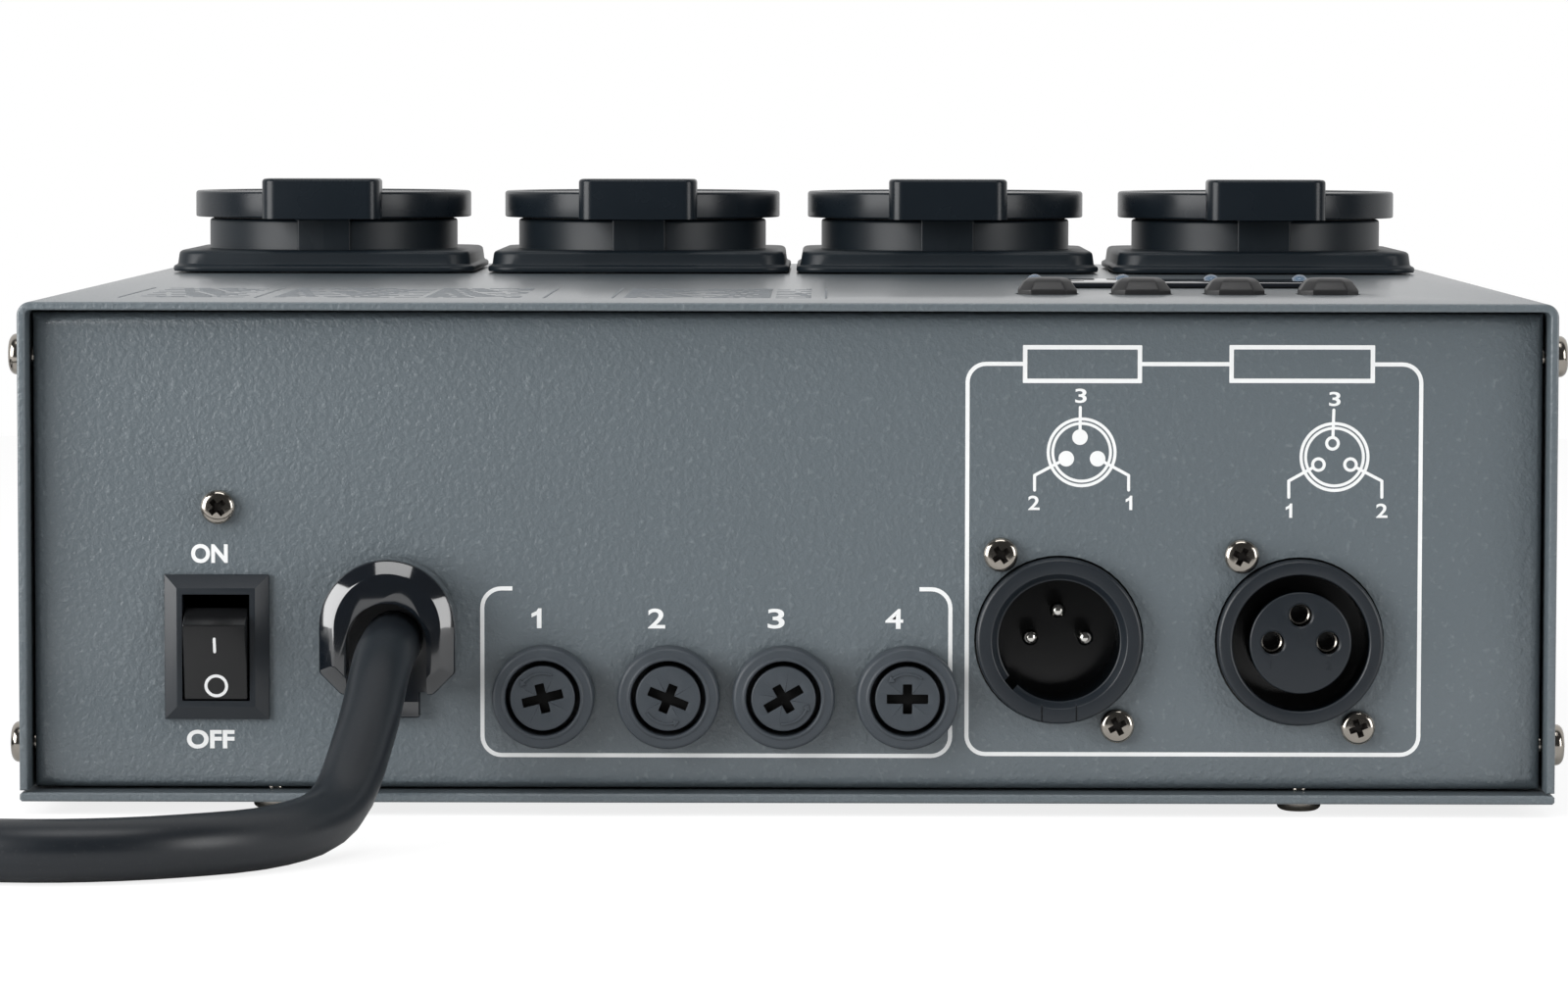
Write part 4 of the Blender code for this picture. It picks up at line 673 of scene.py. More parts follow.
for number, side in enumerate((-1, 1), 1):
    outline = in_mm((0, 44), (2.4, 44), (2.4, 63.4)) + arc(0.8 * MM, 63.4 * MM, 1.6 * MM, 0, 90, 5)
    pin = moved(spun(outline + [(0, 65 * MM)], 32), x=PIN_ASIDE * side)
    clip = block_mm((-2.0, 15.2, 31.0), (2.0, 16.0, 45.5))
    soften(clip, 0.25 * MM, 2)
    clip = moved(clip, turn=90.0 - 90.0 * side)
    for name, metal in ((f"mains_plug_pin_{number}", pin), (f"mains_plug_earth_{number}", clip)):
        stands_for(finished(name, metal, [nickel], place), "case", "nickel")
print(f"cord: {length_of(cord_line):.3f} m, {len(cord_line)} points")

# %% [markdown]
# ## Floor, world and lamps
#
# The object was photographed on white paper, with light from large panels at both sides. The table
# is a white sheet. Where the camera sees it, most of its light is its own glow, so that it joins the
# white background and still keeps a faint shadow. The world is white for the camera, and also for
# reflections that go away from the camera, which gives the top of the box its grazing sheen. Towards
# the camera the room is dark, as in a studio, so black plastic stays black.

# %% Floor
floor_mesh = bmesh.new()
bmesh.ops.create_grid(floor_mesh, x_segments=1, y_segments=1, size=0.5)
bmesh.ops.scale(floor_mesh, vec=(0.86, 1.20, 1.0), verts=floor_mesh.verts)
bmesh.ops.translate(floor_mesh, vec=(-0.03, 0.29, 0.0), verts=floor_mesh.verts)
paper = bpy.data.materials.new("paper")
paper.use_nodes = True
tree = paper.node_tree
shader = tree.nodes["Principled BSDF"]
shader.inputs["Roughness"].default_value = 0.9
shader.inputs["Specular IOR Level"].default_value = 0.1
shader.inputs["Base Color"].default_value = (0.80, 0.80, 0.80, 1.0)
glow = tree.nodes.new("ShaderNodeEmission")
glow.inputs["Strength"].default_value = 0.82
dim = tree.nodes.new("ShaderNodeBsdfDiffuse")
dim.inputs["Color"].default_value = (0.28, 0.28, 0.28, 1.0)
seen = tree.nodes.new("ShaderNodeAddShader")
tree.links.new(glow.outputs[0], seen.inputs[0])
tree.links.new(dim.outputs[0], seen.inputs[1])
path = tree.nodes.new("ShaderNodeLightPath")
looked_at = math_node(
    tree, "MAXIMUM", path.outputs["Is Camera Ray"], path.outputs["Is Transmission Ray"]
)
choose = tree.nodes.new("ShaderNodeMixShader")
tree.links.new(looked_at, choose.inputs[0])
tree.links.new(shader.outputs[0], choose.inputs[1])
tree.links.new(seen.outputs[0], choose.inputs[2])
tree.links.new(choose.outputs[0], tree.nodes["Material Output"].inputs["Surface"])
floor = finished("floor", floor_mesh, [paper])
floor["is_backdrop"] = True

# %% World
world = bpy.data.worlds.new("studio")
bpy.context.scene.world = world
world.use_nodes = True
tree = world.node_tree
around = tree.nodes["Background"]
around.inputs["Color"].default_value = (1.0, 1.0, 1.0, 1.0)
around.inputs["Strength"].default_value = 0.45
white = tree.nodes.new("ShaderNodeBackground")
white.inputs["Color"].default_value = (1.0, 1.0, 1.0, 1.0)
white.inputs["Strength"].default_value = 1.0
mirrored = tree.nodes.new("ShaderNodeBackground")
where = tree.nodes.new("ShaderNodeTexCoord")
split = tree.nodes.new("ShaderNodeSeparateXYZ")
tree.links.new(where.outputs["Generated"], split.inputs[0])
away = tree.nodes.new("ShaderNodeMapRange")
away.interpolation_type = "SMOOTHSTEP"
for name, value in (("From Min", -0.10), ("From Max", 0.30), ("To Min", 0.07), ("To Max", 1.0)):
    away.inputs[name].default_value = value
tree.links.new(split.outputs["Y"], away.inputs["Value"])
tree.links.new(away.outputs["Result"], mirrored.inputs["Strength"])
path = tree.nodes.new("ShaderNodeLightPath")
first = tree.nodes.new("ShaderNodeMixShader")
tree.links.new(path.outputs["Is Glossy Ray"], first.inputs[0])
tree.links.new(around.outputs[0], first.inputs[1])
tree.links.new(mirrored.outputs[0], first.inputs[2])
second = tree.nodes.new("ShaderNodeMixShader")
looked_at = math_node(
    tree, "MAXIMUM", path.outputs["Is Camera Ray"], path.outputs["Is Transmission Ray"]
)
tree.links.new(looked_at, second.inputs[0])
tree.links.new(first.outputs[0], second.inputs[1])
tree.links.new(white.outputs[0], second.inputs[2])
tree.links.new(second.outputs[0], tree.nodes["World Output"].inputs["Surface"])


# %% Softboxes
def softbox(name, turn, rise, distance, width, height, radiance):
    """A soft panel of light that faces the connector panel, at an angle from straight ahead of it."""
    lamp = bpy.data.lights.new(name, "AREA")
    lamp.shape = "RECTANGLE"
    lamp.size = width
    lamp.size_y = height
    lamp.energy = radiance * math.pi * width * height
    obj = bpy.data.objects.new(name, lamp)
    bpy.context.scene.collection.objects.link(obj)
    sideways, upwards = math.radians(turn), math.radians(rise)
    aim = Vector((
        math.sin(sideways) * math.cos(upwards), -math.cos(sideways) * math.cos(upwards), math.sin(upwards)
    ))
    obj.location = Vector((0.0, FRONT, 0.035)) + distance * aim
    obj.rotation_euler = aim.to_track_quat("Z", "Y").to_euler()
    obj.visible_camera = False
    return obj


softbox("left_softbox", -60, 14, 0.9, 0.75, 0.66, 6.0)
softbox("right_softbox", 60, 11, 0.9, 0.42, 0.5, 4.2)
softbox("top_softbox", 0, 70, 1.1, 0.7, 0.4, 3.0)

# %% [markdown]
# ## Folded sheet metal
#
# The case is three kinds of sheet: a U-shaped cover, a flat bottom plate and a tray-shaped panel at
# each end. The cover is drawn as the outline of its bent strip, with real bend radii, and pulled
# along the box. Each panel is a block with rounded front edges, hollowed by a smaller one, which is
# the shape a press brake leaves. The holes are cut last, at the places where the CAD pieces sit.

# %% Cover
SHEET = 1.2 * MM
BEND = 2.0 * MM
SCREW_HOLE = 1.7 * MM
SOCKET_HALF = 25.75 * MM
SOCKET_HOLE = 21.1 * MM
LAMP_ROW = FRONT + 100 * MM
cover_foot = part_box("cover")[0].z
bend_x, bend_z = HALF - BEND, TOP - BEND
outline = [(-HALF, cover_foot)]
outline += arc(-bend_x, bend_z, BEND, 180, 90, 8) + arc(bend_x, bend_z, BEND, 90, 0, 8)
outline += [(HALF, cover_foot), (HALF - SHEET, cover_foot)] + arc(bend_x, bend_z, BEND - SHEET, 0, 90, 8)
outline += arc(-bend_x, bend_z, BEND - SHEET, 90, 180, 8) + [(-HALF + SHEET, cover_foot)]
cover = moved(prism(outline, -REAR, -FRONT), turn=90, axis="X")


def at_an_end(middle, edge):
    """True for an edge in the plane of either end of the cover."""
    one, other = (vert.co.y for vert in edge.verts)
    return abs(one - other) < 1e-6 and min(abs(one - FRONT), abs(one - REAR)) < 1e-6


def upright_hole(x, y, radius, low, high, steps=32):
    """A cutter for a round hole along Z."""
    return moved(rod(radius, low, high, steps), x, y)


def cut_square(size, cut):
    """The outline of a square with its corners cut off."""
    half, short = size / 2, size / 2 - cut
    return [
        (half, -short), (half, short), (short, half), (-short, half),
        (-half, short), (-half, -short), (-short, -half), (short, -half),
    ]


def side_holes(reach, places):
    """Cutters along X for the screws of both sides."""
    return [moved(moved(rod(SCREW_HOLE, -reach, reach), turn=90, axis="Y"), 0, y, z) for y, z in places]


soften(cover, 0.32 * MM, 3, 50, at_an_end)
below, above = TOP - 3 * MM, TOP + 1 * MM
side_screws = [middle_of(f"side_screw_{number}") for number in range(1, 9)]
cutters = side_holes(HALF + MM, [(at.y, at.z) for at in side_screws if at.x < 0])
for number in range(1, 5):
    low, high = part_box(f"socket_{number}")
    cutters.append(upright_hole((low.x + high.x) / 2, high.y - SOCKET_HALF, SOCKET_HOLE, below, above, 64))
    at = middle_of(f"button_{number}")
    cutters.append(moved(prism(cut_square(9.5 * MM, 1.8 * MM), below, above), at.x, at.y))
    cutters.append(upright_hole(at.x, LAMP_ROW, 1.8 * MM, below, above, 24))
window_at = middle_of("display_window")
reach_x, reach_y = 21.3 * MM, 9.3 * MM
cutters.append(block(
    (window_at.x - reach_x, window_at.y - reach_y, below),
    (window_at.x + reach_x, window_at.y + reach_y, above),
))
cover = carved(cover, *cutters)
stands_for(finished("steel_cover", cover, [powder_coat]), "case", "powder_coat", "cover")
print("cover: holes for 4 sockets, 4 buttons, 4 lamps, a window and 8 screws")


# %% End panels
def panel_tray():
    """A panel with its four flanges, about (0, 0) at the case's underside, its face at z = 0."""
    half, low, high, wall = 109.65 * MM, 1.6 * MM, 70.9 * MM, 1.1 * MM
    hole_depth = -5.0 * MM
    tray = block((-half, low, -14 * MM), (half, high, 0))
    soften(tray, 2.2 * MM, 6, where=lambda middle, edge: middle.z > -0.001)
    hollow = block((-half + wall, low + wall, -15 * MM), (half - wall, high - wall, -wall))
    soften(hollow, wall, 4, where=lambda middle, edge: middle.z > -0.002)
    holes = side_holes(half + MM, [(height * MM, hole_depth) for height in (7.8, 64.6)])
    for x in (-74.9, 74.9):
        hole = moved(rod(SCREW_HOLE, -4 * MM, 4 * MM), turn=90, axis="X")
        holes.append(moved(hole, x * MM, 0, hole_depth))
    return carved(tray, hollow, *holes)


def panel_hole(node, radius, height=None):
    """A cutter through the panel at a piece's middle, or there at another height."""
    at = middle_of(node)
    height = at.z if height is None else height
    return upright_hole(at.x, height - CASE_LOW, radius, -3 * MM, 2 * MM, 48)


SWITCH = middle_of("switch_housing")
FUSES = [middle_of(f"fuse_holder_{number}") for number in range(1, 5)]
DATA_IN, DATA_OUT = middle_of("data_in_connector"), middle_of("data_out_connector")
RELIEF = Vector((middle_of("strain_relief").x, PANEL_FACE, LEAD_START.z))
EARTH_SCREW = middle_of("earth_screw")
panel_cutters = [panel_hole(f"data_{way}_connector", 12.3 * MM) for way in ("in", "out")]
panel_cutters += [panel_hole(f"fuse_holder_{number}", 6.7 * MM) for number in range(1, 5)]
panel_cutters += [panel_hole("strain_relief", 7.5 * MM, RELIEF.z), panel_hole("earth_screw", SCREW_HOLE)]
panel_cutters += [panel_hole(f"connector_screw_{number}", SCREW_HOLE) for number in range(1, 5)]
switch_low = (SWITCH.x - 6.7 * MM, SWITCH.z - CASE_LOW - 9.8 * MM, -3 * MM)
switch_high = (SWITCH.x + 6.7 * MM, SWITCH.z - CASE_LOW + 9.8 * MM, 2 * MM)
panel_cutters.append(block(switch_low, switch_high))
front_place = out_of_panel((0, PANEL_FACE, CASE_LOW))
rear_place = Matrix.Translation((0, FAR_FACE, CASE_LOW)) @ Matrix.Rotation(math.pi, 4, "Z")
rear_place = rear_place @ Matrix.Rotation(math.pi / 2, 4, "X")
front_panel = carved(panel_tray(), *panel_cutters)
front_panel = finished("steel_connector_panel", front_panel, [powder_coat], front_place)
stands_for(front_panel, "case", "powder_coat", "connector_panel")
far_panel = finished("steel_far_panel", panel_tray(), [powder_coat], rear_place)
stands_for(far_panel, "case", "powder_coat", "far_panel")

# %% [markdown]
# The bottom plate is flat, with only a small edge, so the CAD solid keeps its shape and gets the
# coat. A Bevel modifier would need merged corners, which a CAD mesh does not have, so its own edge
# stays.

# %% Bottom plate
plate = frame["nodes"]["bottom_plate"]
plate.data.materials.clear()
plate.data.materials.append(powder_coat)

# %% [markdown]
# ## Screws
#
# All screws are pan heads with a cross recess, nickel plated. The head is half an outline turned
# into a dome, and the recess is a cross that narrows as it goes down, as the driver's tip does. The
# recess gets its own near-black finish, which paints in the shade inside it together with some grime.


# %% Pan-head screw
def pan_head(radius, height, turn):
    """A screw along Z with its head 0.3 mm over z = 0. Its recess faces have material 1, the painted shade.
    """
    base = 0.3 * MM
    top = base + height
    outline = in_mm((0, -7), (1.1, -7), (1.4, -6.4)) + [(1.4 * MM, base), (radius - 0.15 * MM, base)]
    outline += [(radius, base + 0.15 * MM), (radius, base + 0.42 * height)]
    for step in range(1, 7):
        lean = math.radians(15 * step)
        reach = radius - 0.42 * radius * (1 - math.cos(lean))
        outline.append((reach, base + (0.42 + 0.50 * math.sin(lean)) * height))
    outline += [(0.3 * radius, top - 0.02 * height), (0, top)]
    head = spun(outline, 48)
    arms = []
    for quarter in (0, 90):
        arm = block((-1.7 * MM, -0.50 * MM, top - 1.05 * MM), (1.7 * MM, 0.50 * MM, top + 0.4 * MM))
        for vert in arm.verts:
            if vert.co.z < top:
                vert.co.x *= 0.42
                vert.co.y *= 0.60
        arms.append(moved(arm, turn=turn + quarter))
    head = carved(head, joined(*arms))
    cross = Matrix.Rotation(math.radians(-turn), 3, "Z")
    for face in head.faces:
        middle = cross @ face.calc_center_median()
        deep = middle.z < top - 0.12 * height and max(abs(middle.x), abs(middle.y)) < 1.75 * MM
        face.material_index = int(deep and middle.z > base and min(abs(middle.x), abs(middle.y)) < 0.55 * MM)
    return head


out_left = Matrix.Rotation(-math.pi / 2, 4, "Y")
out_right = Matrix.Rotation(math.pi / 2, 4, "Y")
out_below = Matrix.Rotation(math.pi, 4, "X")
screws = []
for number, at in enumerate(side_screws, 1):
    side = -1 if at.x < 0 else 1
    place = Matrix.Translation((side * HALF, at.y, at.z)) @ (out_left if side < 0 else out_right)
    screws.append((f"side_screw_{number}", 3.0, 2.1, 17 * number, place))
for number in range(1, 5):
    at = middle_of(f"bottom_screw_{number}")
    place = Matrix.Translation((at.x, at.y, CASE_LOW)) @ out_below
    screws.append((f"bottom_screw_{number}", 3.2, 1.7, 23 * number, place))
    at = middle_of(f"connector_screw_{number}")
    turn = (35, 28, 62, 20)[number - 1]
    screws.append((f"connector_screw_{number}", 2.5, 1.7, turn, out_of_panel((at.x, PANEL_FACE, at.z))))
screws.append(("earth_screw", 2.5, 1.7, 40, out_of_panel((EARTH_SCREW.x, PANEL_FACE, EARTH_SCREW.z))))
for node, radius, height, turn, place in screws:
    head = pan_head(radius * MM, height * MM, turn)
    stands_for(finished(f"pan_head_{node}", head, [nickel, recess_shade_and_grime], place, 30), "case", "nickel", node)
print(f"screws: {len(screws)}")

# %% [markdown]
# ## Mains sockets
#
# Each socket is one black moulding: a square flange with a lip at its foot, a round neck, and a deep
# round recess with two contact holes. The flange is an outline with round corners that is raised
# step by step, and each step draws it in a little, which gives the lip, the slight taper of a
# moulding and the rounded top edge. Neck and recess are turned. At the front a post carries the
# fixed part of the hinge. Two earth clips lie on the wall of the recess, as such a socket needs.


# %% Flange
def round_square(half, corner, steps=7):
    """The outline of a square with round corners."""
    near = half - corner
    outline = []
    for quarter, (x, y) in enumerate(CORNER_SIGNS):
        outline += arc(x * near, y * near, corner, 90 * quarter, 90 * quarter + 90, steps)
    return outline


def stepped(outline, low, steps):
    """An outline raised in steps of (height, half width), each drawn in to its half width."""
    bm = bmesh.new()
    foot = bm.faces.new([bm.verts.new((x, y, low)) for x, y in outline])
    half = max(x for x, y in outline)
    top = raise_face(bm, foot, steps[0][0] - low, steps[0][1] / half)
    for (height, _), (next_height, next_half) in zip(steps, steps[1:]):
        width = max(vert.co.x for vert in top.verts)
        top = raise_face(bm, top, next_height - height, next_half / width, keep=False)
    bmesh.ops.recalc_face_normals(bm, faces=bm.faces)
    return bm


def socket_flange():
    steps = [
        (0.45, 25.68), (0.60, 25.75), (0.95, 25.75), (1.15, 25.66), (1.30, 25.45), (1.42, 25.18),
        (1.60, 25.05), (3.10, 24.85), (3.40, 24.78), (3.62, 24.62), (3.78, 24.38), (3.87, 24.10),
        (3.90, 23.75),
    ]
    return stepped(round_square(25.62 * MM, 5.2 * MM), 0.3 * MM, in_mm(*steps))


# %% Neck, recess and hinge post
NECK_TOP = 9.0 * MM
RECESS_FLOOR = -8.5 * MM
HINGE_Y, HINGE_Z = -24.9 * MM, 11.6 * MM
HINGE_BORE = 0.98 * MM


def on_hinge(bm):
    """A shape made about Z, laid along the hinge's line."""
    return moved(moved(bm, turn=90, axis="Y"), 0, HINGE_Y, HINGE_Z)


def hinge_post():
    """The post and the fixed barrel of the hinge, about the socket's middle."""
    half, barrel = 4.5 * MM, 2.6 * MM
    profile = [
        (0.4 * barrel, -0.6 * barrel), (3.4 * MM, -0.8 * barrel), (3.4 * MM, -8.1 * MM),
        (5.0 * MM, -8.1 * MM), (5.0 * MM, -0.2 * barrel), (0.4 * barrel, 0.45 * barrel),
    ]
    post = sideways(prism(profile, -half, half))
    soften(post, 0.3 * MM, 3, 50, lambda middle, edge: edge.is_convex and middle.z < -0.9 * barrel)
    ring = moved(rod(barrel, -half, half, 48), turn=90, axis="Y")
    return moved(joined(post, ring), 0, HINGE_Y, HINGE_Z)


def socket_body():
    neck = spun(
        in_mm((0, -30), (20.3, -30), (20.8, -29.5), (20.8, 0.6), (21.6, 1.6), (21.6, 3.8), (21.5, 4.1))
        + [(21.5 * MM, NECK_TOP - 0.5 * MM)]
        + arc(21.0 * MM, NECK_TOP - 0.5 * MM, 0.5 * MM, 15, 90, 4)
        + arc(20.1 * MM, NECK_TOP - 0.6 * MM, 0.6 * MM, 90, 180, 4)
        + [(19.5 * MM, RECESS_FLOOR + 1.2 * MM)]
        + arc(18.3 * MM, RECESS_FLOOR + 1.2 * MM, 1.2 * MM, 0, -90, 4)
        + [(0, RECESS_FLOOR)], 96,
    )
    outside = upright_hole(0, 0, 20.5 * MM, -2 * MM, 6 * MM, 96)
    flange = carved(socket_flange(), outside)
    holes = []
    for side in (-1, 1):
        outline = in_mm((0, -26), (2.6, -26)) + [
            (2.6 * MM, RECESS_FLOOR - 0.6 * MM), (3.3 * MM, RECESS_FLOOR + 0.1 * MM),
            (3.3 * MM, RECESS_FLOOR + MM), (0, RECESS_FLOOR + MM),
        ]
        holes.append(moved(spun(outline, 32), PIN_ASIDE * side))
    bore = on_hinge(rod(HINGE_BORE, -6 * MM, 6 * MM))
    return carved(joined(neck, flange, hinge_post()), *holes, bore)


def earth_clip(side):
    """A bent strip on the recess wall, towards the front or the rear."""
    outline = [
        (19.45, -8.0), (19.45, 7.2), (19.2, 7.9), (18.6, 7.9), (18.0, 6.8), (17.4, 4.6), (17.2, 2.0),
        (17.7, -0.6), (18.6, -3.0), (18.75, -8.0),
    ]
    strip = sideways(prism(in_mm(*outline), -2.0 * MM, 2.0 * MM))
    soften(strip, 0.15 * MM, 2, 40)
    return moved(strip, turn=0 if side > 0 else 180)


SOCKETS = []
for number in range(1, 5):
    low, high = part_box(f"socket_{number}")
    SOCKETS.append(Vector(((low.x + high.x) / 2, high.y - SOCKET_HALF, TOP)))
    place = Matrix.Translation(SOCKETS[-1])
    body = finished(f"socket_body_{number}", socket_body(), [neck_plastic], place)
    stands_for(body, "case", "black_plastic", f"socket_{number}")
    for side in (-1, 1):
        clip = finished(f"socket_{number}_earth_clip_{(side + 3) // 2}", earth_clip(side), [nickel], place)
        stands_for(clip, "case", "nickel")
print("socket centres (mm):", [tuple(round(value * 1000, 1) for value in at[:2]) for at in SOCKETS])

# %% [markdown]
# ## Socket lids
#
# A lid is a thick round plate with a hinge block grown onto its front. Both are softened on their
# own before they are joined, so that the line where they meet stays crisp, as in the moulding. The
# slot that clears the fixed post and the bore for the pin are cut afterwards. A rubber seal lies in
# the lid's underside, and a shallow dish runs inside its rim.

# %% Lids and hinge pins
LID_LOW, LID_HIGH = 9.3 * MM, 13.8 * MM
BLOCK_FRONT, BLOCK_BACK, BLOCK_TOP = HINGE_Y - 3.8 * MM, HINGE_Y + 6.2 * MM, 16.1 * MM


def lid_shape():
    """The lid about the socket's middle, closed."""
    radius = 23.9 * MM
    outline = [(0, LID_LOW + 0.6 * MM), (17.9 * MM, LID_LOW + 0.6 * MM), (18.2 * MM, LID_LOW)]
    outline += arc(radius - 0.3 * MM, LID_LOW + 0.3 * MM, 0.3 * MM, -90, 0, 3)
    outline += arc(radius - 0.5 * MM, LID_HIGH - 0.5 * MM, 0.5 * MM, 0, 90, 5)
    outline += [(21.9 * MM, LID_HIGH), (21.5 * MM, LID_HIGH - 0.25 * MM), (0, LID_HIGH - 0.25 * MM)]
    plate = spun(outline, 128)
    hinge = block((-10 * MM, BLOCK_FRONT, LID_LOW), (10 * MM, BLOCK_BACK, BLOCK_TOP))
    soften(hinge, 2.3 * MM, 8, where=upright)
    soften(hinge, 0.55 * MM, 4, 60, where=lambda middle, edge: middle.z > BLOCK_TOP - 1e-5)
    slot = block(
        (-4.9 * MM, HINGE_Y - 2.9 * MM, LID_LOW - MM), (4.9 * MM, HINGE_Y + 5.3 * MM, HINGE_Z + 2.9 * MM)
    )
    return carved(joined(plate, hinge), slot, on_hinge(rod(HINGE_BORE, -11 * MM, 11 * MM)))


lid_seal = grained(
    "lid_seal", (0.020, 0.020, 0.021), 0.7, grain=2200.0, height=0.03 * MM, strength=0.3, patches=120.0,
    colour_change=0.3,
)
SEAL = in_mm(
    (18.35, 9.29), (18.35, 9.16), (18.5, 9.08), (20.9, 9.08), (21.05, 9.16), (21.05, 9.29), (18.35, 9.29)
)
HINGE_PIN_HALF = 9.7 * MM
for number, at in enumerate(SOCKETS, 1):
    place = Matrix.Translation(at)
    lid = finished(f"lid_{number}_plate", lid_shape(), [socket_plastic], place)
    stands_for(lid, f"lid_{number}", "black_plastic", f"socket_lid_{number}")
    seal = finished(f"lid_{number}_seal", spun(SEAL, 96), [lid_seal], place)
    stands_for(seal, f"lid_{number}", "black_rubber")
    pin = on_hinge(chamfered_rod(0.9 * MM, -HINGE_PIN_HALF, HINGE_PIN_HALF, 0.15 * MM, 0.2 * MM))
    pin = finished(f"hinge_wire_{number}", pin, [steel_wire], place)
    stands_for(pin, "case", "steel_pin", f"hinge_pin_{number}")

# %% [markdown]
# ## Buttons, lamps and display window
#
# The buttons are small moulded caps: a square with its corners cut off, whose sides lean in above a
# short upright foot. Between them and the sockets lie four clear round lamps in a row and a glossy
# dark window. All sit on a board under the cover, on four pillars, with a key switch under each
# button and a display module under the window.

# %% Button caps
button_plastic = grained(
    "button_plastic", (0.016, 0.016, 0.017), 0.38, grain=2600.0, height=0.03 * MM, strength=0.2,
    patches=250.0, colour_change=0.25, gloss_change=0.12,
)
BUTTONS = [middle_of(f"button_{number}") for number in range(1, 5)]


def button_cap():
    """A cap about the cover's top face, with the collar and the stem under it."""
    bm = bmesh.new()
    outline = cut_square(8.8 * MM, 1.8 * MM)
    foot = bm.faces.new([bm.verts.new((x, y, -1.9 * MM)) for x, y in outline])
    top = raise_face(bm, foot, 2.6 * MM)
    width = 8.8
    for rise, size in ((1.3, 7.0), (0.35, 5.9), (0.15, 4.6)):
        top = raise_face(bm, top, rise * MM, size / width, keep=False)
        width = size
    bmesh.ops.recalc_face_normals(bm, faces=bm.faces)
    soften(bm, 0.22 * MM, 3, 22, lambda middle, edge: middle.z > 0)
    collar = block_mm((-5.3, -5.3, -2.5), (5.3, 5.3, -1.5))
    soften(collar, 0.2 * MM, 2)
    stem = spun_mm([(0, -7.5), (1.45, -7.5), (1.6, -7.3), (1.6, -2.2), (0, -2.2)], 32)
    return joined(bm, collar, stem)


for number, at in enumerate(BUTTONS, 1):
    place = Matrix.Translation((at.x, at.y, TOP))
    cap = finished(f"button_cap_{number}", button_cap(), [button_plastic], place, 25)
    stands_for(cap, f"key_{number}", "black_plastic", f"button_{number}")

# %% Window
window_gloss = grained(
    "window_gloss", (0.008, 0.010, 0.014), 0.07, grain=600.0, height=0.005 * MM, strength=0.05,
    patches=60.0, colour_change=0.2, gloss_change=0.06, coat=0.8, coat_roughness=0.03,
)
window_low, window_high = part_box("display_window")
half_x, half_y = (window_high.x - window_low.x) / 2, (window_high.y - window_low.y) / 2
pane = block((-half_x, -half_y, 0.3 * MM), (half_x, half_y, 0.9 * MM))
soften(pane, 1.0 * MM, 6, where=upright)
soften(pane, 0.22 * MM, 3, 60, where=lambda middle, edge: middle.z > 0.8 * MM)
back_x, back_y = half_x - 2 * MM, half_y - 2 * MM
back = block((-back_x, -back_y, -1.6 * MM), (back_x, back_y, 0.5 * MM))
place = Matrix.Translation((window_at.x, window_at.y, TOP))
window = finished("display_pane", joined(pane, back), [window_gloss], place)
stands_for(window, "case", "dark_window", "display_window")

# %% [markdown]
# ## Boards inside
#
# The control board is a thin green sheet on pillars. What can be seen of it from outside is the row
# of lamp domes, so they get a clear bluish plastic of their own. The rest is made plainly but with
# its real parts. The power board carries four relays, a transformer, a terminal block and a
# capacitor, each a softened block or a turned shape with its own finish.

# %% Board finishes
solder_mask = grained(
    "solder_mask", (0.015, 0.13, 0.055), 0.35, grain=1500.0, height=0.01 * MM, strength=0.1, fleck=0.6,
    fleck_colour=(0.30, 0.42, 0.25), patches=180.0, colour_change=0.5, gloss_change=0.1, coat=0.3,
)
relay_plastic = grained(
    "relay_plastic", (0.02, 0.07, 0.22), 0.4, grain=1800.0, height=0.02 * MM, strength=0.2, patches=100.0,
    colour_change=0.25,
)
terminal_plastic = grained(
    "terminal_plastic", (0.05, 0.20, 0.10), 0.45, grain=1800.0, height=0.02 * MM, strength=0.2,
    patches=100.0, colour_change=0.2,
)
core_steel = grained(
    "core_steel", (0.30, 0.30, 0.31), 0.45, grain=2400.0, height=0.08 * MM, strength=0.5, patches=200.0,
    colour_change=0.3, metallic=1.0,
)
winding_tape = grained(
    "winding_tape", (0.55, 0.42, 0.06), 0.35, grain=900.0, height=0.05 * MM, strength=0.4, patches=150.0,
    colour_change=0.25,
)
lamp_clear = grained(
    "lamp_clear", (0.34, 0.48, 0.66), 0.06, grain=500.0, height=0.005 * MM, strength=0.05, patches=900.0,
    colour_change=0.35, gloss_change=0.04, coat=0.5, coat_roughness=0.03,
)
lamp_clear.node_tree.nodes["Principled BSDF"].inputs["Transmission Weight"].default_value = 0.75
display_face = grained(
    "display_face", (0.012, 0.010, 0.010), 0.2, grain=1200.0, height=0.01 * MM, strength=0.1, patches=200.0,
    colour_change=0.3,
)

# %% Control board
BOARD = 1.6 * MM
FACE = TOP - 12 * MM


def bare_board(node, bottom, top):
    """A board as wide and long as a CAD piece, and the places of its four pillars."""
    low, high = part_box(node)
    sheet = block((low.x, low.y, bottom), (high.x, high.y, top))
    soften(sheet, 1.5 * MM, 4, where=upright)
    soften(sheet, 0.15 * MM, 2, 60, where=lambda middle, edge: not upright(middle, edge))
    inset = 4 * MM
    rows = (low.y + inset, high.y - inset)
    return sheet, [(x, y) for x in (low.x + inset, high.x - inset) for y in rows]


def hexagon_pillar(low, high):
    pillar = prism(arc(0, 0, 2.6 * MM, 0, 360, 6)[:-1], low, high)
    return soften(pillar, 0.2 * MM, 2, 40)


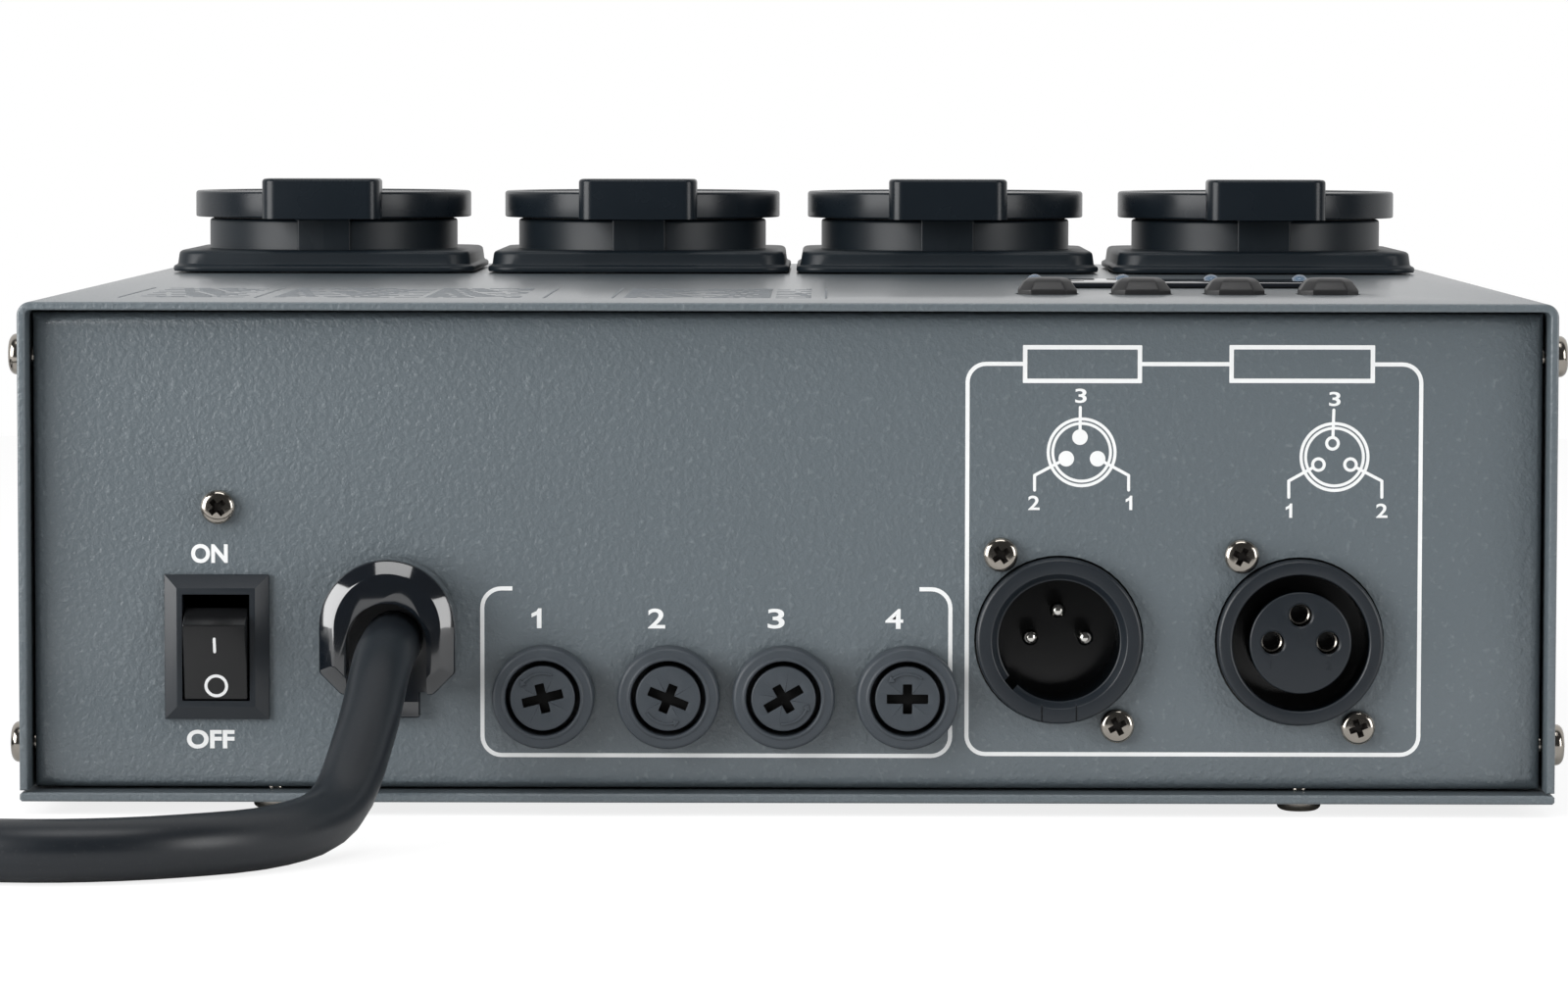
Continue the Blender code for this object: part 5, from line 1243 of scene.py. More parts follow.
sheet, corners = bare_board("control_board", FACE - BOARD, FACE)
sheet = carved(sheet, *[upright_hole(x, y, 1.6 * MM, FACE - 3 * MM, FACE + MM) for x, y in corners])
stands_for(finished("control_board_sheet", sheet, [solder_mask]), "case", "circuit_board", "control_board")
for number, (x, y) in enumerate(corners, 1):
    pillar = hexagon_pillar(FACE - 0.2 * MM, TOP - 1.5 * MM)
    outline = [(0, FACE - 3.4 * MM), (1.2 * MM, FACE - 3.4 * MM), (1.5 * MM, FACE - 3.1 * MM)]
    tip = spun(outline + [(1.5 * MM, FACE), (0, FACE)], 24)
    pillar = moved(joined(pillar, tip), x, y)
    stands_for(finished(f"control_board_pillar_{number}", pillar, [nickel]), "case", "nickel")
for number, at in enumerate(BUTTONS, 1):
    key = block((-3 * MM, -3 * MM, FACE - 0.1 * MM), (3 * MM, 3 * MM, FACE + 2.2 * MM))
    soften(key, 0.25 * MM, 2)
    outline = [(0, FACE + 2 * MM), (1.75 * MM, FACE + 2 * MM), (1.75 * MM, FACE + 3.2 * MM)]
    plunger = spun(outline + [(1.55 * MM, FACE + 3.4 * MM), (0, FACE + 3.4 * MM)], 32)
    key = moved(joined(key, plunger), at.x, at.y)
    stands_for(finished(f"key_switch_{number}", key, [fitting_plastic]), "case", "black_plastic")
    low, dome = FACE - 0.1 * MM, TOP + 1.5 * MM
    outline = [(0, low), (1.9 * MM, low), (1.9 * MM, low + 0.8 * MM), (1.5 * MM, low + 0.8 * MM)]
    outline += arc(0, dome - 1.5 * MM, 1.5 * MM, 0, 90, 10)[:-1] + [(0, dome)]
    lamp = moved(spun(outline, 40), at.x, LAMP_ROW)
    stands_for(finished(f"lamp_{number}", lamp, [lamp_clear]), "case", "fuse_glass")
module = block((-17 * MM, -7 * MM, FACE - 0.1 * MM), (17 * MM, 7 * MM, TOP - 3.4 * MM))
soften(module, 0.3 * MM, 2)
module = carved(module, block((-15.5 * MM, -5.6 * MM, TOP - 3.7 * MM), (15.5 * MM, 5.6 * MM, TOP)))
module = finished("display_module", module, [display_face], Matrix.Translation((window_at.x, window_at.y, 0)))
stands_for(module, "case", "dark_window")

# %% Power board
power_low, power_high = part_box("power_board")
sheet_low = power_low.z + 5.7 * MM
deck = sheet_low + BOARD
sheet, corners = bare_board("power_board", sheet_low, deck)
stands_for(finished("power_board_sheet", sheet, [solder_mask]), "case", "circuit_board", "power_board")
for number, (x, y) in enumerate(corners, 1):
    pillar = moved(hexagon_pillar(power_low.z, sheet_low + 0.1 * MM), x, y)
    stands_for(finished(f"power_board_pillar_{number}", pillar, [nickel]), "case", "nickel")


def on_deck(name, at, size, material, slot, edge, extra=None):
    """A softened block that stands on the power board. Its size, its edge and its place are in mm, and
    the place counts from the panel end."""
    body = block_mm((-size[0] / 2, -size[1] / 2, -0.1), (size[0] / 2, size[1] / 2, size[2]))
    soften(body, edge * MM, 3)
    if extra:
        body = extra(body)
    place = Matrix.Translation((at[0] * MM, FRONT + at[1] * MM, deck))
    return stands_for(finished(name, body, [material], place), "case", slot)


def relay_seams(body):
    """The body with a vent hole in its top and a seam along its front."""
    vent = upright_hole(10 * MM, 0, 0.8 * MM, 19.2 * MM, 22 * MM, 20)
    return carved(body, vent, block_mm((-15, -7, 2.0), (15, -6.05, 2.3)))


TERMINALS = (18, 68)
WELLS = [-42 + 12 * place for place in range(8)]


def terminal_wells(body):
    """The body with a screw well and a wire mouth at each place."""
    wells = []
    for aside in WELLS:
        x = aside * MM
        wells.append(upright_hole(x, 0, 2.4 * MM, 7.5 * MM, 14 * MM, 24))
        wells.append(block((x - 2.6 * MM, -7 * MM, 1.2 * MM), (x + 2.6 * MM, -3.5 * MM, 6.0 * MM)))
    return carved(body, *wells)


for number in range(4):
    at = ((number - 1.5) * 34, 168)
    on_deck(f"relay_{number + 1}", at, (28, 12.5, 20), relay_plastic, "black_plastic", 0.6, relay_seams)
on_deck("terminal_block", TERMINALS, (96, 11, 12), terminal_plastic, "black_plastic", 0.5, terminal_wells)
for number, aside in enumerate(WELLS):
    screw = spun_mm([(0, 5), (1.9, 5), (1.9, 8.6), (1.6, 9.0), (0, 9.0)], 28)
    screw = carved(screw, block_mm((-3, -0.3, 8.2), (3, 0.3, 10)))
    place = Matrix.Translation(((TERMINALS[0] + aside) * MM, FRONT + TERMINALS[1] * MM, deck))
    place = place @ Matrix.Rotation(0.4 * number, 4, "Z")
    stands_for(finished(f"terminal_screw_{number + 1}", screw, [nickel], place), "case", "nickel")
on_deck("transformer_core", (-52, 100), (44, 24, 30), core_steel, "nickel", 0.5)
on_deck("transformer_winding", (-52, 100), (29, 38, 28.5), winding_tape, "black_plastic", 3.0)
outline = in_mm((0, -0.1), (6.1, -0.1)) + arc(6.0 * MM, 1.2 * MM, 0.5 * MM, -80, 0, 3)
outline += in_mm((6.2, 2.0), (6.5, 2.6)) + arc(6.0 * MM, 21.5 * MM, 0.5 * MM, 0, 90, 4)
outline += in_mm((5.2, 22.0), (5.0, 21.8), (0, 21.8))
cuts = [block_mm((-5, -0.2, 21.6), (5, 0.2, 23)), block_mm((-0.2, -5, 21.6), (0.2, 5, 23))]
place = Matrix.Translation((4 * MM, FRONT + 112 * MM, deck))
can = finished("capacitor", carved(spun(outline, 48), *cuts), [fitting_plastic], place)
stands_for(can, "case", "black_plastic")
print(f"power board: deck at {deck * 1000:.1f} mm, tallest part to {power_high.z * 1000:.1f} mm")

# %% [markdown]
# ## Rocker switch
#
# The switch snaps into the panel. Its bezel slopes up on all four sides, so its corners show mitre
# lines, and then runs flat round the opening. The bezel is a rectangle raised twice, the second time
# drawn in by the same width on every side. The rocker is a short prism of its side view, leaning with
# its top edge out, as in the off position, and it carries a bar and a ring in white.


# %% Housing
def raised_frame(low_size, high_size, low, high):
    """A four-sided frustum: a rectangle at low, another at high, both centred."""
    bm = bmesh.new()
    half_x, half_y = low_size[0] / 2, low_size[1] / 2
    foot = bm.faces.new([bm.verts.new((x * half_x, y * half_y, low)) for x, y in CORNER_SIGNS])
    grown = bmesh.ops.extrude_face_region(bm, geom=[foot])["geom"]
    corners = [item for item in grown if isinstance(item, bmesh.types.BMVert)]
    bmesh.ops.translate(bm, vec=(0, 0, high - low), verts=corners)
    bmesh.ops.scale(bm, vec=(high_size[0] / low_size[0], high_size[1] / low_size[1], 1), verts=corners)
    bmesh.ops.recalc_face_normals(bm, faces=bm.faces)
    return bm


SWITCH_HEIGHT = 22.3 * MM
PIVOT_Z = -4.5 * MM
bezel_size = (15.2 * MM, 21.1 * MM)
rim = raised_frame(bezel_size, bezel_size, 0.3 * MM, 0.8 * MM)
slope = raised_frame(bezel_size, (11.4 * MM, 17.3 * MM), 0.75 * MM, 2.2 * MM)
bezel = joined(rim, slope)
bmesh.ops.remove_doubles(bezel, verts=bezel.verts, dist=1e-6)
soften(bezel, 0.14 * MM, 2, 15)
body = raised_frame((12.6 * MM, 18.8 * MM), (12.8 * MM, 19.0 * MM), -14 * MM, 0.6 * MM)
soften(body, 0.4 * MM, 3, 60, lambda middle, edge: middle.z < -13 * MM or upright(middle, edge))
blades = []
for middle in (-6, 0, 6):
    blade = block_mm((-2.4, middle - 0.4, -22), (2.4, middle + 0.4, -13.6))
    soften(blade, 0.25 * MM, 2, 60, lambda spot, edge: spot.z < -21.9 * MM)
    blades.append(blade)
pocket = block_mm((-4.9, -7.75, -8.3), (4.9, 7.75, 4))
bearing = moved(rod(1.28 * MM, -6.1 * MM, 6.1 * MM), turn=90, axis="Y")
housing = carved(joined(bezel, body), pocket, moved(bearing, 0, 0, PIVOT_Z))
switch_place = out_of_panel((SWITCH.x, PANEL_FACE, CASE_LOW + SWITCH_HEIGHT))
housing = finished("switch_frame", housing, [fitting_plastic], switch_place, 20)
stands_for(housing, "case", "black_plastic", "switch_housing")
for number, blade in enumerate(blades, 1):
    stands_for(finished(f"switch_blade_{number}", blade, [nickel], switch_place), "case", "nickel")

# %% Rocker
TILT = math.radians(14)
PIVOT = Matrix.Translation((0, 0, PIVOT_Z)) @ Matrix.Rotation(TILT, 4, "X")
shoulder_z = 0.24 * 8.4
shoulder = (7.45 - shoulder_z * math.sin(TILT)) / math.cos(TILT)
profile = [
    (0, 8.1), (5.7, 8.4), (shoulder, shoulder_z), (0.9 * shoulder, -shoulder_z),
    (-0.9 * shoulder, -shoulder_z), (-shoulder, shoulder_z), (-5.7, 8.4),
]
rocker = sideways(prism(in_mm(*profile), -4.6 * MM, 4.6 * MM))
soften(rocker, 0.28 * MM, 3, 20)
axle = chamfered_rod(1.05 * MM, -5.8 * MM, 5.8 * MM, 0.15 * MM, 0.2 * MM)
axle = moved(axle, turn=90, axis="Y")
rocker_plastic = grained(
    "rocker_plastic", (0.0075, 0.0078, 0.0085), 0.24, grain=1500.0, height=0.02 * MM, strength=0.1,
    patches=150.0, colour_change=0.3, gloss_change=0.1,
)
rocker = finished("rocker_moulding", joined(rocker, axle), [rocker_plastic], switch_place @ PIVOT, 20)
stands_for(rocker, "rocker", "black_plastic", "switch_rocker")


# %% [markdown]
# ## Prints
#
# The white marks are screen-printed ink, a few hundredths of a millimetre thick. Each is a thin
# closed shape that stands just proud of its surface: frames are a rectangle with round corners and
# an inset, rings are two circles bridged, and numbers are a text curve turned into a mesh. They are
# made flat at z = 0 and then placed, so that one helper serves the panel, the top and the rocker.

# %% Shapes for ink
INK = 0.045 * MM


def thick(bm):
    """Gives flat faces the ink's thickness upwards."""
    bmesh.ops.recalc_face_normals(bm, faces=bm.faces)
    if bm.faces and sum(face.normal.z for face in bm.faces) < 0:
        bmesh.ops.reverse_faces(bm, faces=bm.faces)
    flat = bm.faces[:]
    grown = bmesh.ops.extrude_face_region(bm, geom=flat)["geom"]
    corners = [item for item in grown if isinstance(item, bmesh.types.BMVert)]
    bmesh.ops.translate(bm, vec=(0, 0, INK), verts=corners)
    for face in flat:
        if face.is_valid:
            face.normal_flip()
    bmesh.ops.recalc_face_normals(bm, faces=bm.faces)
    return bm


def round_end(middle, lean, width, degrees):
    """Points round the end of a stroke, at those angles from its own direction."""
    turns = [lean + math.radians(degree) for degree in degrees]
    return [middle + Vector((math.cos(turn), math.sin(turn), 0)) * width / 2 for turn in turns]


def ink_stroke(points, width):
    """A line of even width through points, made of short bars with round ends."""
    shapes = []
    for start, end in zip(points, points[1:]):
        start, end = Vector((*start, 0)), Vector((*end, 0))
        along = (end - start).normalized()
        side = Vector((-along.y, along.x, 0)) * width / 2
        bm = bmesh.new()
        lean = math.atan2(along.y, along.x)
        outline = [start + side, *round_end(start, lean, width, (120, 150, 180, 210, 240))]
        outline += [start - side, end - side]
        outline += [*round_end(end, lean, width, (-60, -30, 0, 30, 60)), end + side]
        bm.faces.new([bm.verts.new(point) for point in outline])
        shapes.append(thick(bm))
    return shapes


def ink_ring(x, y, outer, inner, steps=64):
    bm = bmesh.new()
    edges = []
    for radius in (outer, inner):
        circle = bmesh.ops.create_circle(bm, radius=radius, segments=steps)["verts"]
        edges += {edge for vert in circle for edge in vert.link_edges}
    bmesh.ops.bridge_loops(bm, edges=edges)
    return moved(thick(bm), x, y)


def ink_dot(x, y, radius):
    bm = bmesh.new()
    bmesh.ops.create_circle(bm, cap_ends=True, radius=radius, segments=40)
    return moved(thick(bm), x, y)


def ink_text(words, x, y, height, weight=0.016):
    """Bold words, centred at (x, y), with capitals of that height."""
    curve = bpy.data.curves.new("words", "FONT")
    curve.body = words
    curve.size = height / 0.72
    curve.offset = weight * height / 0.72
    curve.align_x, curve.align_y = "CENTER", "CENTER"
    curve.resolution_u = 6
    obj = bpy.data.objects.new("words", curve)
    bpy.context.scene.collection.objects.link(obj)
    mesh = bpy.data.meshes.new_from_object(obj.evaluated_get(bpy.context.evaluated_depsgraph_get()))
    bm = bmesh.new()
    bm.from_mesh(mesh)
    bpy.data.objects.remove(obj, do_unlink=True)
    bmesh.ops.remove_doubles(bm, verts=bm.verts, dist=height * 1e-4)
    low_x, high_x = min(v.co.x for v in bm.verts), max(v.co.x for v in bm.verts)
    low_y, high_y = min(v.co.y for v in bm.verts), max(v.co.y for v in bm.verts)
    moved(bm, x - (low_x + high_x) / 2, y - (low_y + high_y) / 2)
    return thick(bm)


def ink_frame(low, high, corner, width):
    """A rectangle's outline with round corners."""
    bm = bmesh.new()
    edges = []
    for inset in (0.0, width):
        reach_x, reach_y = (high[0] - low[0]) / 2 - corner, (high[1] - low[1]) / 2 - corner
        radius = max(corner - inset, 0.02 * MM)
        if corner < width:
            reach_x, reach_y = reach_x - inset, reach_y - inset
            radius = corner
        outline = []
        for quarter, (x, y) in enumerate(CORNER_SIGNS):
            outline += arc(x * reach_x, y * reach_y, radius, 90 * quarter, 90 * quarter + 90, 8)
        verts = [bm.verts.new((x, y, 0)) for x, y in outline]
        edges += [bm.edges.new(pair) for pair in zip(verts, verts[1:] + verts[:1])]
    bmesh.ops.bridge_loops(bm, edges=edges)
    return moved(thick(bm), (low[0] + high[0]) / 2, (low[1] + high[1]) / 2)


def ink_one(x, y, width, height):
    """The figure 1 with its flag, which the built-in typeface lacks."""
    bm = bmesh.new()
    outline = (
        (0.54, 0.0), (1.0, 0.0), (1.0, 1.0), (0.66, 1.0),
        (0.50, 0.86), (0.0, 0.74), (0.0, 0.54), (0.54, 0.67),
    )
    bm.faces.new([bm.verts.new(((across - 0.5) * width, (up - 0.5) * height, 0)) for across, up in outline])
    return moved(thick(bm), x, y)


def printed(name, shapes, place, body="case", material=print_white):
    """Several ink shapes as one piece on a surface."""
    whole = bmesh.new()
    for shape in shapes:
        mesh = bpy.data.meshes.new("ink")
        shape.to_mesh(mesh)
        shape.free()
        whole.from_mesh(mesh)
        bpy.data.meshes.remove(mesh)
    piece = finished(name, whole, [material], place, 30)
    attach(piece, body)
    return piece


on_face = switch_place @ PIVOT @ Matrix.Translation((0, 0, 8.13 * MM))
bar = Matrix.Rotation(math.atan2(0.3, 5.7), 4, "X")
mark_bar = ink_stroke([(0, 3.6 * MM), (0, 1.6 * MM)], 0.42 * MM)
mark_ring = ink_ring(0, 0, 1.72 * MM, 1.28 * MM)
printed("rocker_bar", mark_bar, on_face @ bar, "rocker")
printed("rocker_ring", [moved(mark_ring, 0.1 * MM, -3.6 * MM)], on_face @ bar.inverted(), "rocker")

# %% [markdown]
# ## Strain relief
#
# The cord leaves through a glossy bushing with an arched top. Its rim slopes back to the panel on all
# sides, and this slope is what catches the light in two clear bands. So the arch is drawn once,
# raised, and inset with a drop, which makes that slope exactly. The pocket behind the rim lets the
# cord bend down.

# %% Bushing
ARCH = 9.85 * MM
spring = 12.0 * MM - ARCH
SLOPED_BELOW = 3.2 * MM
outline = [(-ARCH + SLOPED_BELOW, -7.6 * MM), (ARCH - SLOPED_BELOW, -7.6 * MM), (ARCH, -4.4 * MM)]
outline += arc(0, spring, ARCH, 0, 180, 48) + [(-ARCH, -4.4 * MM)]
collar = prism(outline, 0.3 * MM, 6.9 * MM)
front = max(collar.faces, key=lambda face: face.calc_center_median().z)
bmesh.ops.inset_region(collar, faces=[front], thickness=2.2 * MM, depth=1.6 * MM, use_even_offset=True)
soften(collar, 0.35 * MM, 4, 25, lambda middle, edge: middle.z > 1 * MM)
tab = block_mm((-4.5, -11.4, 0.3), (4.5, -7.2, 2.6))
soften(tab, 0.5 * MM, 3)
neck = rod(7.2 * MM, -1.8 * MM, 0.7 * MM, 64)
clamp = spun_mm([(0, -13.4), (7.9, -13.4), (8.6, -12.4), (8.6, -1.9), (8.3, -1.4), (0, -1.4)], 64)
mouth = [(5.8 * MM, -9 * MM)] + arc(0, 0, 5.8 * MM, 0, 180, 32) + [(-5.8 * MM, -9 * MM)]
pocket = prism(mouth, 2.5 * MM, 10 * MM)
relief = carved(joined(collar, tab, neck, clamp), pocket)


def round_the_mouth(middle, edge):
    """True for the edge where the pocket opens in the bushing's front."""
    in_mouth = abs(middle.x) < 6.0 * MM and middle.y < 5.9 * MM
    return edge.is_convex and middle.z > 8.4 * MM and in_mouth


soften(relief, 0.5 * MM, 3, 50, round_the_mouth)
relief = finished("cord_bushing", relief, [glossy_plastic], out_of_panel(RELIEF), 25)
stands_for(relief, "case", "black_plastic", "strain_relief")

# %% [markdown]
# ## Fuse holders
#
# A fuse holder is a turned part: a flange with a small bead round its mouth, a threaded tube behind
# the panel and a flat nut. Its cap sits deep in the mouth and has a cross slot for a screwdriver and
# a raised arrow that shows which way it turns. Behind it is the fuse, a glass tube with two metal
# ends.

# %% Holder
def fuse_holder():
    """The tube with its thread, flange, bead and bore, and the nut behind the panel."""
    outline = in_mm((0, -31), (5.8, -31), (6.0, -30.8))
    for ridge in range(12):
        height = (-29 + 1.6 * ridge) * MM
        outline += [(6.0 * MM, height), (5.75 * MM, height + 0.5 * MM)]
        outline += [(5.75 * MM, height + 0.7 * MM), (6.0 * MM, height + 1.2 * MM)]
    outline += in_mm((6.0, -4), (6.4, -1.4), (6.4, 0.3), (7.3, 0.3), (7.45, 0.45), (7.45, 3.3))
    outline += arc(6.75 * MM, 3.62 * MM, 0.62 * MM, 8, 90, 7)
    outline += in_mm((6.12, 4.24), (6.02, 4.28), (5.95, 4.40))
    outline += arc(5.72 * MM, 4.28 * MM, 0.22 * MM, 60, 180, 6)
    outline += in_mm((5.42, 3.9), (5.4, 3.6), (5.4, -3.5), (3.1, -3.5), (3.1, -27), (0, -27))
    holder = spun(outline, 96)
    nut = prism(arc(0, 0, 7.85 * MM, 0, 360, 6)[:-1], -4.0 * MM, -1.4 * MM)
    soften(nut, 0.25 * MM, 2, 40)
    nut = carved(nut, upright_hole(0, 0, 5.9 * MM, -6 * MM, 0, 64))
    return joined(holder, nut)


# %% Cap
def darken(bm, deep):
    """Gives material 1, a near-black painted shade, to the faces for which deep(middle) is true."""
    for face in bm.faces:
        face.material_index = int(deep(face.calc_center_median()))
    return bm


def fuse_cap():
    """The cap with its cross slot, and a hollow in its back that takes the fuse's end."""
    high, low, radius, edge_radius = 4.2 * MM, -1.4 * MM, 4.7 * MM, 0.25 * MM
    outline = [(0, low + 3.6 * MM), (2.9 * MM, low + 3.6 * MM), (2.9 * MM, low), (4.5 * MM, low)]
    outline += [(radius, low + 0.2 * MM)]
    outline += arc(radius - edge_radius, high - edge_radius, edge_radius, 0, 90, 4) + [(0, high)]
    cap = spun(outline, 72)
    arms = []
    for x, y in ((6.0, 1.35), (1.35, 4.3)):
        arm = block((-x / 2 * MM, -y / 2 * MM, high - 1.4 * MM), (x / 2 * MM, y / 2 * MM, high + MM))
        arms.append(soften(arm, 0.12 * MM, 2, where=upright))
    cap = carved(cap, joined(*arms))

    def slot_edge(middle, edge):
        return edge.is_convex and middle.z > high - 1e-5 and middle.xy.length < 4.2 * MM

    def in_slot(middle):
        return high - 1.5 * MM < middle.z < high - 0.3 * MM and middle.xy.length < 3.4 * MM

    # The faces inside the slot get painted shade.
    return darken(soften(cap, 0.10 * MM, 2, 60, slot_edge), in_slot)


def turn_arrow():
    """A raised arc with a head, on the cap's face."""
    radius, width, barb = 3.65 * MM, 0.15 * MM, 0.55 * MM
    tail, neck, tip = -125, -55, -42
    sweep = arc(0, 0, radius + width, tail, neck, 14)
    for reach, angle in ((radius + barb, neck), (radius, tip), (radius - barb, neck)):
        sweep.append((reach * math.cos(math.radians(angle)), reach * math.sin(math.radians(angle))))
    sweep += arc(0, 0, radius - width, neck, tail, 14)
    arrow = prism(sweep, 4.15 * MM, 4.45 * MM)
    return soften(arrow, 0.08 * MM, 2, 40, lambda middle, edge: middle.z > 4.4 * MM)


fuse_plastic = grained(
    "fuse_plastic", (0.045, 0.054, 0.064), 0.42, grain=3000.0, height=0.05 * MM, strength=0.3,
    patches=300.0, colour_change=0.3, gloss_change=0.15, specular=0.4,
)
fuse_glass = grained(
    "fuse_glass", (0.85, 0.88, 0.88), 0.05, grain=400.0, height=0.004 * MM, strength=0.05, patches=300.0,
    colour_change=0.08, gloss_change=0.03,
)
fuse_glass.node_tree.nodes["Principled BSDF"].inputs["Transmission Weight"].default_value = 0.9
SLOT_LEAN = (14.0, -22.0, 30.0, 0.0)
ARROW_TURN = (180.0, 0.0, 0.0, 180.0)
FUSE_HEIGHT = 15.2 * MM
FUSE_LENGTH = 20 * MM
FUSE_END = 5 * MM
for number, at in enumerate(FUSES, 1):
    place = out_of_panel(Vector((at.x, PANEL_FACE, CASE_LOW + FUSE_HEIGHT)))
    holder = finished(f"fuse_socket_{number}", fuse_holder(), [fuse_plastic], place, 25)
    stands_for(holder, "case", "black_plastic", f"fuse_holder_{number}")
    leaning = place @ Matrix.Rotation(math.radians(SLOT_LEAN[number - 1]), 4, "Z")
    cap = finished(f"fuse_knob_{number}_face", fuse_cap(), [fuse_plastic, slot_painted_shade], leaning, 25)
    stands_for(cap, f"fuse_knob_{number}", "black_plastic", f"fuse_cap_{number}")
    arrow_place = leaning @ Matrix.Rotation(math.radians(ARROW_TURN[number - 1]), 4, "Z")
    arrow = finished(f"fuse_knob_{number}_arrow", turn_arrow(), [fuse_plastic], arrow_place)
    stands_for(arrow, f"fuse_knob_{number}", "black_plastic")
    high = PANEL_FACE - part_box(f"fuse_link_{number}")[0].y
    low = high - FUSE_LENGTH
    glass = rod(2.35 * MM, low + 0.5 * MM, high - 0.5 * MM, 48)
    glass = finished(f"fuse_{number}_glass", glass, [fuse_glass], place)
    stands_for(glass, f"fuse_{number}", "fuse_glass", f"fuse_link_{number}")
    for end, (start, stop) in enumerate(((low, low + FUSE_END), (high - FUSE_END, high)), 1):
        shell = chamfered_rod(2.6 * MM, start, stop, 0.4 * MM, 0.4 * MM, 48)
        stands_for(finished(f"fuse_{number}_end_{end}", shell, [nickel], place), f"fuse_{number}", "nickel")
print(f"fuses: {len(FUSES)} holders at x = {[round(at.x * 1000, 1) for at in FUSES]} mm")

# %% [markdown]
# ## Data connectors
#
# Both connectors are turned black barrels that reach through the panel, each screwed to it by a
# plate behind. The male one has a wide mouth with a bevelled edge, a small key notch, the outline of
# its catch at the bottom, and three round-tipped pins deep inside. The female one has a deep groove
# round an insert with three holes and small raised numbers.

# %% Barrels
CONTACTS = ((-4.0, 0.0), (4.0, 0.0), (0.0, 4.0))


def barrel(mouth):
    """A data connector with its mouth, one outline turned about Z, and the screwed plate behind."""
    low = -22 * MM
    outline = [(0, low), (11.5 * MM, low), (12 * MM, low + 0.5 * MM), (12 * MM, 2.3 * MM)]
    outline += arc(11.45 * MM, 2.35 * MM, 0.55 * MM, 5, 90, 6) + mouth
    shape = spun(outline, 128)
    plate = block_mm((-13, -15.5, -3.4), (13, 15.5, -1.4))
    soften(plate, 2.0 * MM, 6, where=upright)
    soften(plate, 0.2 * MM, 2, 60, lambda middle, edge: not upright(middle, edge))
    holes = [upright_hole(side * 8.5 * MM, -side * 12.45 * MM, 1.6 * MM, -5 * MM, 0, 24) for side in (-1, 1)]
    ring = upright_hole(0, 0, 11.8 * MM, -5 * MM, 0, 96)
    return joined(shape, carved(plate, ring, *holes))


DATA_FLOOR = -12.1 * MM
DATA_IN_HEIGHT, DATA_OUT_HEIGHT = 23.5 * MM, 23.3 * MM
male_mouth = [(10.0 * MM, 2.9 * MM)] + arc(10.0 * MM, 2.6 * MM, 0.3 * MM, 90, 160, 4)
male_mouth += in_mm((9.05, 1.95), (9.0, 1.8), (8.86, 1.74), (8.8, 1.6))
male_mouth += [(8.7 * MM, DATA_FLOOR), (0, DATA_FLOOR)]
male = barrel(male_mouth)
notch = moved(block((8.0 * MM, -0.9 * MM, DATA_FLOOR + MM), (9.75 * MM, 0.9 * MM, 5 * MM)), turn=221)
catch_lines = [block_mm((x - 0.11, -11.85, 2.55), (x + 0.11, -8.5, 5)) for x in (-2.5, 2.5)]
male = carved(male, notch, *catch_lines)
# The inside of the mouth gets painted shade.
darken(male, lambda middle: middle.xy.length < 9.9 * MM and DATA_FLOOR - 0.1 * MM < middle.z < 1.5 * MM)
male_place = out_of_panel((DATA_IN.x, PANEL_FACE, CASE_LOW + DATA_IN_HEIGHT))
male = finished("data_in_barrel", male, [fitting_plastic, bore_painted_shade], male_place, 30)
stands_for(male, "case", "black_plastic", "data_in_connector")
pin_metal = grained(
    "pin_metal", (0.80, 0.78, 0.74), 0.12, grain=2500.0, height=0.005 * MM, strength=0.1, patches=500.0,
    colour_change=0.1, gloss_change=0.08, metallic=1.0,
)
for number, (x, y) in enumerate(CONTACTS, 1):
    tip = DATA_FLOOR + 9 * MM
    outline = [(0, DATA_FLOOR - MM), (1.2 * MM, DATA_FLOOR - MM), (1.2 * MM, tip - 1.1 * MM)]
    outline += arc(0, tip - 1.1 * MM, 1.2 * MM, 4, 90, 8)[:-1] + [(0, tip + 0.1 * MM)]
    pin = moved(spun(outline, 40), x * MM, y * MM)
    pin = finished(f"data_in_pin_{number}", pin, [pin_metal], male_place)
    stands_for(pin, "case", "nickel")

# %% Female connector
front = 2.3 * MM
female_mouth = [(10.3 * MM, 2.9 * MM)] + arc(10.3 * MM, 2.5 * MM, 0.4 * MM, 90, 180, 4)
female_mouth += [(9.9 * MM, DATA_FLOOR), (7.4 * MM, DATA_FLOOR)]
female_mouth += arc(7.1 * MM, front - 0.3 * MM, 0.3 * MM, 0, 90, 4) + [(0, front)]
female = barrel(female_mouth)
holes = []
for x, y in CONTACTS:
    outline = [(0, front - 9 * MM), (1.65 * MM, front - 9 * MM), (1.65 * MM, front - 0.25 * MM)]
    outline += [(1.9 * MM, front), (1.9 * MM, front + MM), (0, front + MM)]
    holes.append(moved(spun(outline, 40), x * MM, y * MM))
female = carved(female, *holes)
